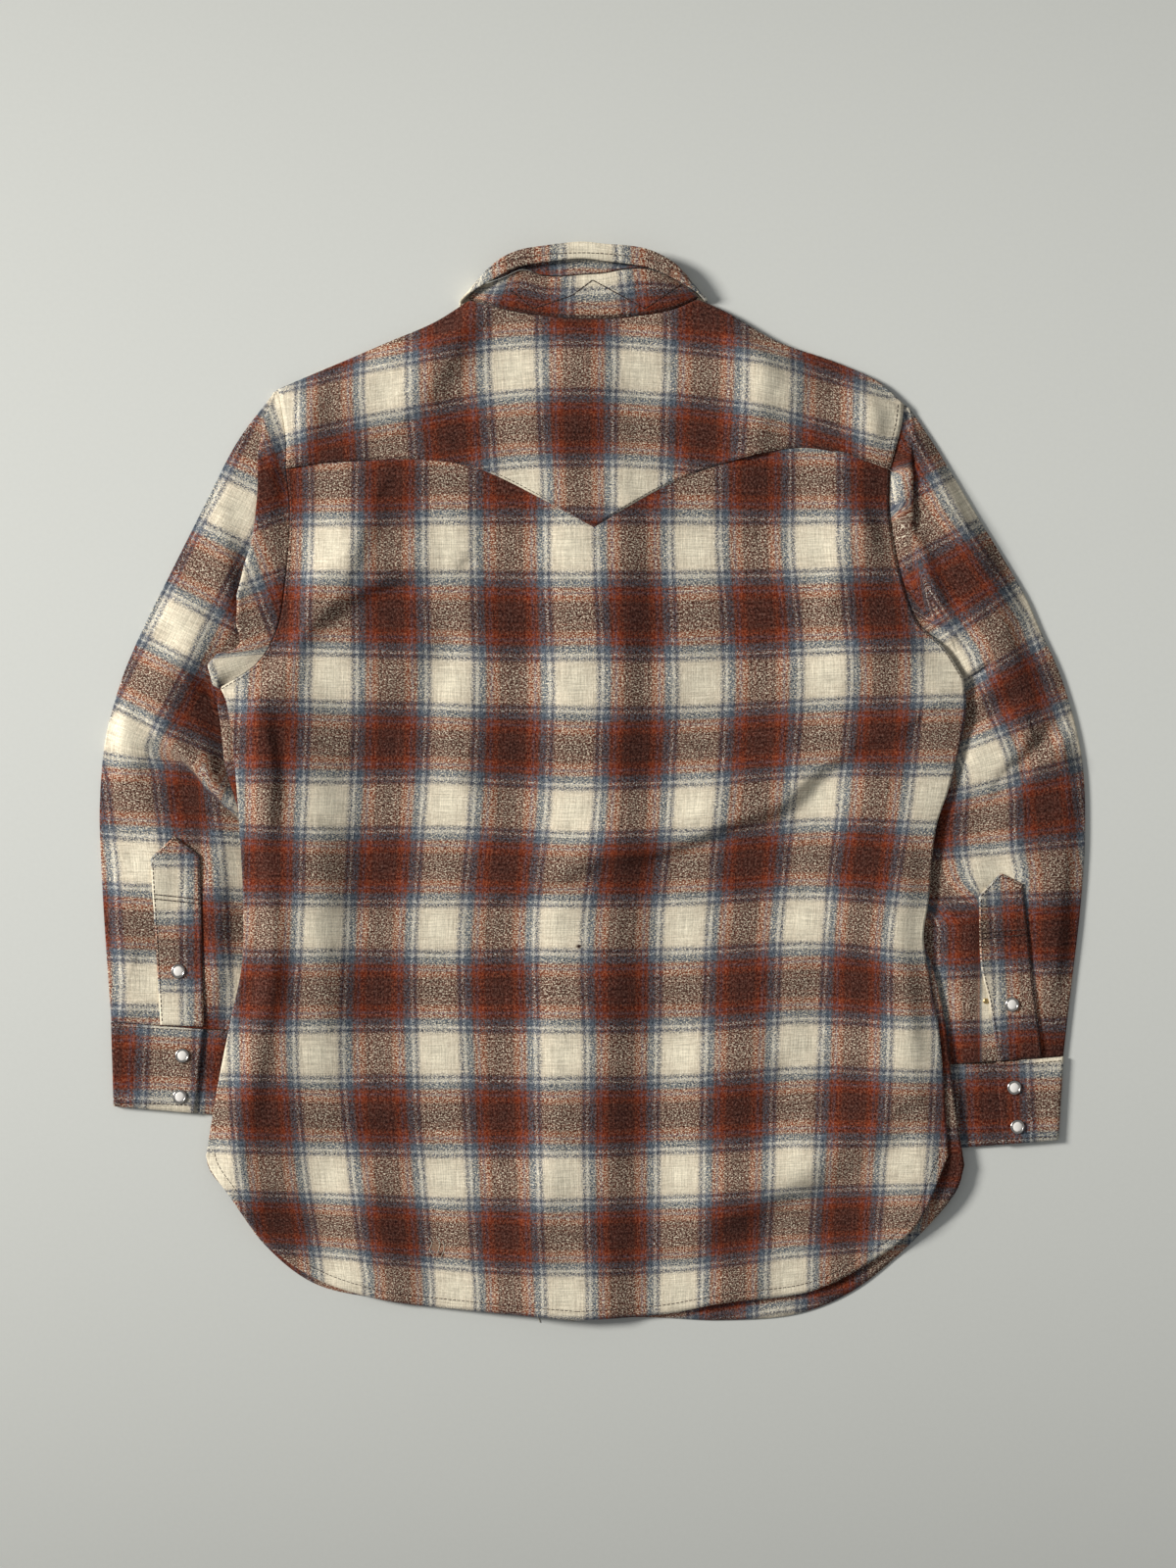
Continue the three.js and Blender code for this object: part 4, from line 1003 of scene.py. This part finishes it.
def make_stand():
    stations = [[seam * (1 - h) + top * h + [0, 0, 0.9 * math.sin(math.pi * h)] for h in np.linspace(0, 1, 9)]
                for seam, top in stand_stations()]
    rails = ringed(stations)
    x, y, z = (rails[..., i] for i in range(3))
    round_neck = np.cumsum(np.r_[0, np.hypot(np.diff(x[0]), np.diff(y[0]))])
    middle = round_neck[len(round_neck) // 2]
    px, py, _ = SQUARES["stand"]
    u = (round_neck[None, :] - middle - (px - COLLAR_CENTRE)) / NECK_REPEAT + 0 * x
    v = (np.linspace(0, 34, 9)[:, None] + 361 - py) / REPEAT + 0 * x
    return panel("collar_band", x, y, z, (u, v))


# Hidden part of the leaf by station: past the stand's top edge, outward, height. Columns: sewn edge, roll,
# turn, middle and free edge
LEAF_LOW = [
    [(0.9, 2, 2.75), (2.5, 2, 1.8), (0.8, 3, 0.75), (-22, 20, 0.75), (-52, 40, 0.75)],
    [(0.9, 0, 2.75), (2.5, 0, 1.8), (0.8, 1, 0.75), (-20, 24, 0.75), (-44, 48, 0.75)],
    [(0.9, 0, 2.75), (2.5, 0, 1.8), (0.8, 1, 0.75), (-12, 22, 0.75), (-26, 45, 0.75)],
    [(0.9, 0, 2.75), (2.5, 0, 1.8), (0.8, 1, 0.75), (-6, 20, 0.75), (-12, 42, 0.75)],
    [(0.9, 0, 2.75), (2.5, 0, 1.8), (0.8, 1, 0.75), (-7, 15, 0.75), (-14, 31, 0.75)],
    [(0.9, 0.4, 2.75), (2.3, 1.2, 1.9), (0.6, 3, 0.75), (-10, 4.4, 0.75), (-22, 3.5, 0.75)],
    [(0.9, 1.9, 3.3), (2.3, 2.9, 2.9), (-1, 3.7, 2.7), (-8, 3.9, 2.6), (-18.5, 4.4, 2.2)],
    [(0.9, 2.5, 5.2), (2.3, 3.5, 5), (-1, 4.3, 5), (-8, 4.4, 5), (-17.5, 4.8, 4.8)],
    [(0.9, 1.9, 7.5), (2.8, 3.5, 7.3), (0, 4.6, 7.4), (-5, 4.8, 8), (-14, 4.8, 8.6)],
    [(0.9, 0.8, 9.5), (3.5, 3.5, 9), (3.5, 5.4, 9.3), (1, 6.3, 10.5), (-10, 3.9, 11.6)],
]
LEAF_OUT = [(0.5, 4, 8, 9, 3), (0, 3, 5, 6, 3), (0, 2, 3, 4, 2), (0, 1, 2, 2, 1)]


def make_leaf():
    ring = stand_stations()[1:-1]
    sections = []
    for i, (seam, top) in enumerate(ring):
        k = min(i, len(ring) - 1 - i)
        side = -1 if i * 2 < len(ring) else 1
        if k < len(LEAF_LOW):
            rails = LEAF_LOW[k]
        else:
            column = i - 9
            outer, free = LEAF_OUTER[column], LEAF_FREE[column]
            outs = LEAF_OUT[k - 10] if k - 10 < len(LEAF_OUT) else (0, 0, 0, 0, 0)
            base = top[2]
            rails = list(zip((0.9, outer * 0.36, outer * 0.78, outer, free), outs,
                             (base, base - 1.6, base - 0.4, base + 3.0, base + 4.6)))
        way = top - seam
        way[2] = 0
        way /= np.linalg.norm(way)
        points = []
        for past, out, z in rails:
            spot = top + way * past + np.array([side * out, 0, 0])
            points.append((spot[0], spot[1], z))
        section = curve(points, 6)
        section[:, 2] = np.maximum(section[:, 2], LOWER)
        sections.append(section)
    rails = ringed(sections)
    x, y, z = (rails[..., i] for i in range(3))
    middle_rail = x.shape[0] // 2
    round_neck = np.cumsum(np.r_[0, np.hypot(np.diff(x[middle_rail]), np.diff(y[middle_rail]))])
    px, py, _ = SQUARES["leaf"]
    deep = np.cumsum(np.vstack([np.zeros((1, x.shape[1])),
                                np.sqrt(np.diff(x, axis=0)**2 + np.diff(y, axis=0)**2 + np.diff(z, axis=0)**2)]), 0)
    u = (round_neck[None, :] - round_neck[len(round_neck) // 2] - (px - COLLAR_CENTRE)) / NECK_REPEAT + 0 * x
    v = (deep - deep[-1:, :] + 5) / REPEAT
    return panel("collar_fold", x, y, z, (u, v), 1.6)


# Snaps
def make_snap(place, x, y, z):
    def lathe(name, profile, material, node):
        bm = bmesh.new()
        line = [bm.verts.new((r / 1000, 0, h / 1000)) for r, h in profile]
        edges = [bm.edges.new(pair) for pair in zip(line, line[1:])]
        bmesh.ops.spin(bm, geom=line + edges, axis=(0, 0, 1), cent=(0, 0, 0), dvec=(0, 0, 0), angle=2 * math.pi,
                       steps=48, use_merge=True)
        bmesh.ops.remove_doubles(bm, verts=bm.verts, dist=1e-6)
        bmesh.ops.recalc_face_normals(bm, faces=bm.faces)
        bmesh.ops.translate(bm, verts=bm.verts, vec=Vector(metres((x, y, z))))
        piece = keep(name, bm, material)
        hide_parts(node)

    inner = PEARL_RADIUS
    rim = [(inner, 0.2), (inner, 1.2), (inner + 0.25, 1.75), (inner + 0.8, 1.95), (SNAP_RADIUS - 0.5, 1.5),
           (SNAP_RADIUS, 0.8), (SNAP_RADIUS - 0.1, 0.1), (inner, 0.2)]
    cap = [(0, 0.1), (inner - 0.05, 0.1), (inner - 0.05, 1.2), (inner * 0.85, 1.55), (inner * 0.5, 1.85), (0, 1.95)]
    lathe(f"snap_rim_{place}", rim, CHROME, f"snap_ring_{place}")
    lathe(f"snap_cap_{place}", cap, PEARL, f"snap_pearl_{place}")


# Stitching
def stitch_line(bm, line, height, length=2.4, gap=1.1, width=0.5, rise=0.25):
    """Small bars of thread along a line, lying on the cloth."""
    total = float(np.sum(np.hypot(*np.diff(line, axis=0).T)))
    count = max(int(total / (length + gap)), 1)
    starts = along(line, (np.arange(count) + 0.1) / count)
    ends = along(line, (np.arange(count) + 0.1 + length / (length + gap)) / count)
    for (x1, y1), (x2, y2) in zip(starts, ends):
        z1, z2 = height(x1, y1), height(x2, y2)
        if z1 is None or z2 is None:
            continue
        a, b = Vector(metres((x1, y1, z1 + 0.05))), Vector(metres((x2, y2, z2 + 0.05)))
        way = b - a
        if way.length < 1e-6:
            continue
        turn = way.to_track_quat("X", "Z").to_matrix().to_4x4()
        size = Matrix.Diagonal((way.length, width / 1000, rise / 1000, 1))
        bmesh.ops.create_cube(bm, size=1, matrix=Matrix.Translation((a + b) / 2) @ turn @ size)


def inset(line, distance):
    """A line moved sideways, to its left if the distance is more than 0."""
    way = np.gradient(line, axis=0)
    way /= np.maximum(np.linalg.norm(way, axis=1, keepdims=True), 1e-9)
    return line + np.column_stack([-way[:, 1], way[:, 0]]) * distance


back = make_back()
yoke = make_yoke()
front_left = make_front("front_cloth_left", (0, 0.53), False)
front_right = make_front("front_cloth_right", (0.47, 1), True)
band = make_band()
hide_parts("back")
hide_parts("yoke")
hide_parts("front_left")
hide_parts("front_right")
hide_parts("front_band")

sleeves, cuffs, plackets = {}, {}, {}
for side in ("left", "right"):
    sleeves[side] = make_sleeve(side)
    cuffs[side] = make_cuff(side)
    plackets[side] = make_placket(side, sleeves[side])
    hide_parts(f"sleeve_{side}")
    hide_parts(f"cuff_{side}")
    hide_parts(f"placket_{side}")
stand = make_stand()
leaf = make_leaf()
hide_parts("collar_stand")
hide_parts("collar_leaf")

for side in ("left", "right"):
    on_cuff = surface_of(cuffs[side])
    on_placket = surface_of(plackets[side])
    for number, (x, y) in enumerate(CUFFS[side]["snaps"], 1):
        make_snap(f"cuff_{side}_{number}", x, y, on_cuff(x, y))
    x, y = PLACKETS[side]["snap"]
    make_snap(f"placket_{side}", x, y, on_placket(x, y))

for number in range(1, 8):
    hidden_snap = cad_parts[f"snap_front_{number}"].data
    hidden_snap.materials.clear()
    hidden_snap.materials.append(CHROME)

# Dark stitching of the yoke, armholes, hem, cuffs, plackets and stand
bm = bmesh.new()
on_yoke = surface_of(yoke)
on_body = surface_of(yoke, back)
stitch_line(bm, inset(along(curve(YOKE_EDGE_LEFT), np.linspace(0, 1, 120)), 1.6), on_yoke)
stitch_line(bm, inset(along(curve(YOKE_EDGE_RIGHT), np.linspace(0, 1, 120)), 1.6), on_yoke)
stitch_line(bm, inset(along(curve(YOKE_END_RIGHT), np.linspace(0, 1, 30)), 4.6), on_yoke)
stitch_line(bm, inset(curve(ARMHOLE_RIGHT), 1.5), on_body)
stitch_line(bm, inset(curve(ARMHOLE_LEFT), -1.5), on_body)
on_back = surface_of(back)
stitch_line(bm, inset(curve(HEM_LEFT), 7), on_back)
stitch_line(bm, inset(curve(HEM_RIGHT), 7), on_back)
for side in ("left", "right"):
    spec, cuff = PLACKETS[side], CUFFS[side]
    on_placket, on_cuff = surface_of(plackets[side]), surface_of(cuffs[side])
    for key, by in (("left", -1.5), ("right", 1.5), ("tip", -1.5)):
        parts = zip(spec[key], spec[key][1:]) if key == "tip" else [spec[key]]
        for part in parts:
            stitch_line(bm, inset(along(curve(part), np.linspace(0.02, 0.98, 30)), by), on_placket, width=0.6)
    top = [np.array(cuff["top"][key]) for key in ("outer", "lap")]
    foot = [np.array(cuff["bottom"][key]) for key in ("outer", "lap")]
    for start, finish in CROSS_STITCHES[side]:
        stitch_line(bm, np.linspace(start, finish, 12), on_placket, 3, 0.6, 0.75, 0.5)
    for a, b in ((top[0], top[1]), (foot[0], foot[1])):
        inward = 3.0 if a is top[0] else -3.0
        line = np.array([a + (b - a) * h for h in np.linspace(0.04, 0.97, 20)])
        stitch_line(bm, line - [0, inward], on_cuff, width=0.6)
on_stand, on_leaf = surface_of(stand), surface_of(leaf)
for start, finish in zip(ZIGZAG, ZIGZAG[1:]):
    stitch_line(bm, np.linspace(start, finish, 12), on_stand, 3, 0.5, 0.75, 0.5)
stitch_line(bm, inset(curve(NECK), 2.4), on_stand, width=0.6, rise=0.4)
stitch_line(bm, inset(curve(LEAF_FREE_EDGE), 4.6), on_leaf, width=0.6, rise=0.4)
stitching = keep("stitching_dark", bm, THREAD_DARK)

# Pale threads: in the moth-eaten patch, loose at the hem, a fleck on the yoke and the tack at the hem's end
bm = bmesh.new()
for strand in PALE_THREADS:
    stitch_line(bm, curve(strand, 5), lambda x, y: on_body(x, y) or 0.4, 2.0, 0.02, 0.5, 0.4)
stitching_pale = keep("stitching_pale", bm, THREAD_PALE)

# Brass socket of the hidden half of the right placket's snap, seen past its edge
bm = bmesh.new()
x, y = SOCKET
bmesh.ops.create_uvsphere(bm, u_segments=24, v_segments=12, radius=0.0022)
bmesh.ops.scale(bm, verts=bm.verts, vec=(1, 1, 0.45))
bmesh.ops.translate(bm, verts=bm.verts, vec=Vector(metres((x, y, surface_of(sleeves["right"])(x, y) + 0.4))))
socket = keep("snap_socket", bm, BRASS)

# Floor, light and camera
PHOTO_CENTRE = (-3.45, -1.15)
PHOTO_HEIGHT = 1225.6
LENS = 85
SENSOR = 36


def make_stage():
    bm = bmesh.new()
    bmesh.ops.create_grid(bm, x_segments=1, y_segments=1, size=4)
    mesh = bpy.data.meshes.new("floor")
    bm.to_mesh(mesh)
    bm.free()
    floor = bpy.data.objects.new("floor", mesh)
    bpy.context.scene.collection.objects.link(floor)
    shade = Shade("pale_paper")
    place = shade.node("ShaderNodeTexCoord").outputs["Object"]
    grain = shade.noise(place, 300.0, 2.0)
    along_floor = Value(shade, shade.node("ShaderNodeSeparateXYZ", Vector=place).outputs[1])
    # painted shade: the floor darkens with distance from a band across it, standing in for the lamp's falloff
    painted_falloff = shade.math("POWER", shade.math("ABSOLUTE", along_floor - 0.12), 2.0) * 0.55
    paper = shade.mix(grain, light(201, 203, 198), light(205, 207, 202))
    shade.set(Base_Color=shade.mix(shade.math("MINIMUM", painted_falloff, 0.5), paper, light(60, 60, 56)), Roughness=0.9)
    mesh.materials.append(shade.material)

    world = bpy.data.worlds.new("studio")
    bpy.context.scene.world = world
    world.use_nodes = True
    world.node_tree.nodes["Background"].inputs[0].default_value = (0.96, 0.98, 1, 1)
    world.node_tree.nodes["Background"].inputs[1].default_value = 0.3

    lamp = bpy.data.lights.new("window", "AREA")
    lamp.shape = "DISK"
    lamp.size = 2.1
    lamp.energy = 890
    lamp.color = (1, 0.975, 0.94)
    holder = bpy.data.objects.new("window", lamp)
    bpy.context.scene.collection.objects.link(holder)
    holder.location = (-6.5, 1.9, 3.8)
    holder.rotation_euler = (Vector((0, 0, 0)) - holder.location).to_track_quat("-Z", "Y").to_euler()

    view = bpy.data.cameras.new("camera")
    view.lens = LENS
    view.sensor_width = SENSOR
    camera = bpy.data.objects.new("camera", view)
    bpy.context.scene.collection.objects.link(camera)
    x, y, _ = metres((*PHOTO_CENTRE, 0))
    camera.location = (x, y, LENS / SENSOR * PHOTO_HEIGHT / 1000)
    bpy.context.scene.camera = camera
    bpy.context.scene.view_settings.view_transform = "Standard"


make_stage()

# Sheets of cloth: cut width and length in metres, cut area in square metres, how it lies and on what
fronts = ["front_cloth_left", "front_cloth_right"]
SHEETS = [
    (back, (0.6, 0.68), 0.352, "laid", [*fronts, "sleeve_cloth_left", "sleeve_cloth_right"]),
    (yoke, (0.5, 0.185), 0.0529, "laid", ["back_panel"]),
    (front_left, (0.315, 0.8), 0.2054, "laid", ["front_cloth_right"]),
    (front_right, (0.32, 0.8), 0.2085, "laid", []),
    (band, (0.042, 0.614), 0.021, "laid", []),
    (stand, (0.53, 0.037), 0.0135, "folded", ["collar_fold"]),
    (leaf, (0.516, 0.076), 0.0201, "folded", []),
    (sleeves["left"], (0.256, 0.56), 0.1024, "laid", ["front_cloth_left"]),
    (sleeves["right"], (0.27, 0.57), 0.101, "laid", ["front_cloth_right"]),
    (cuffs["left"], (0.224, 0.066), 0.014, "folded", []),
    (cuffs["right"], (0.226, 0.0655), 0.0139, "folded", []),
    (plackets["left"], (0.04, 0.148), 0.0051, "laid", ["sleeve_cloth_left"]),
    (plackets["right"], (0.037, 0.148), 0.0051, "laid", ["sleeve_cloth_right"]),
]
for piece, flat, area, held, lies_on in SHEETS:
    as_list(lies_on)
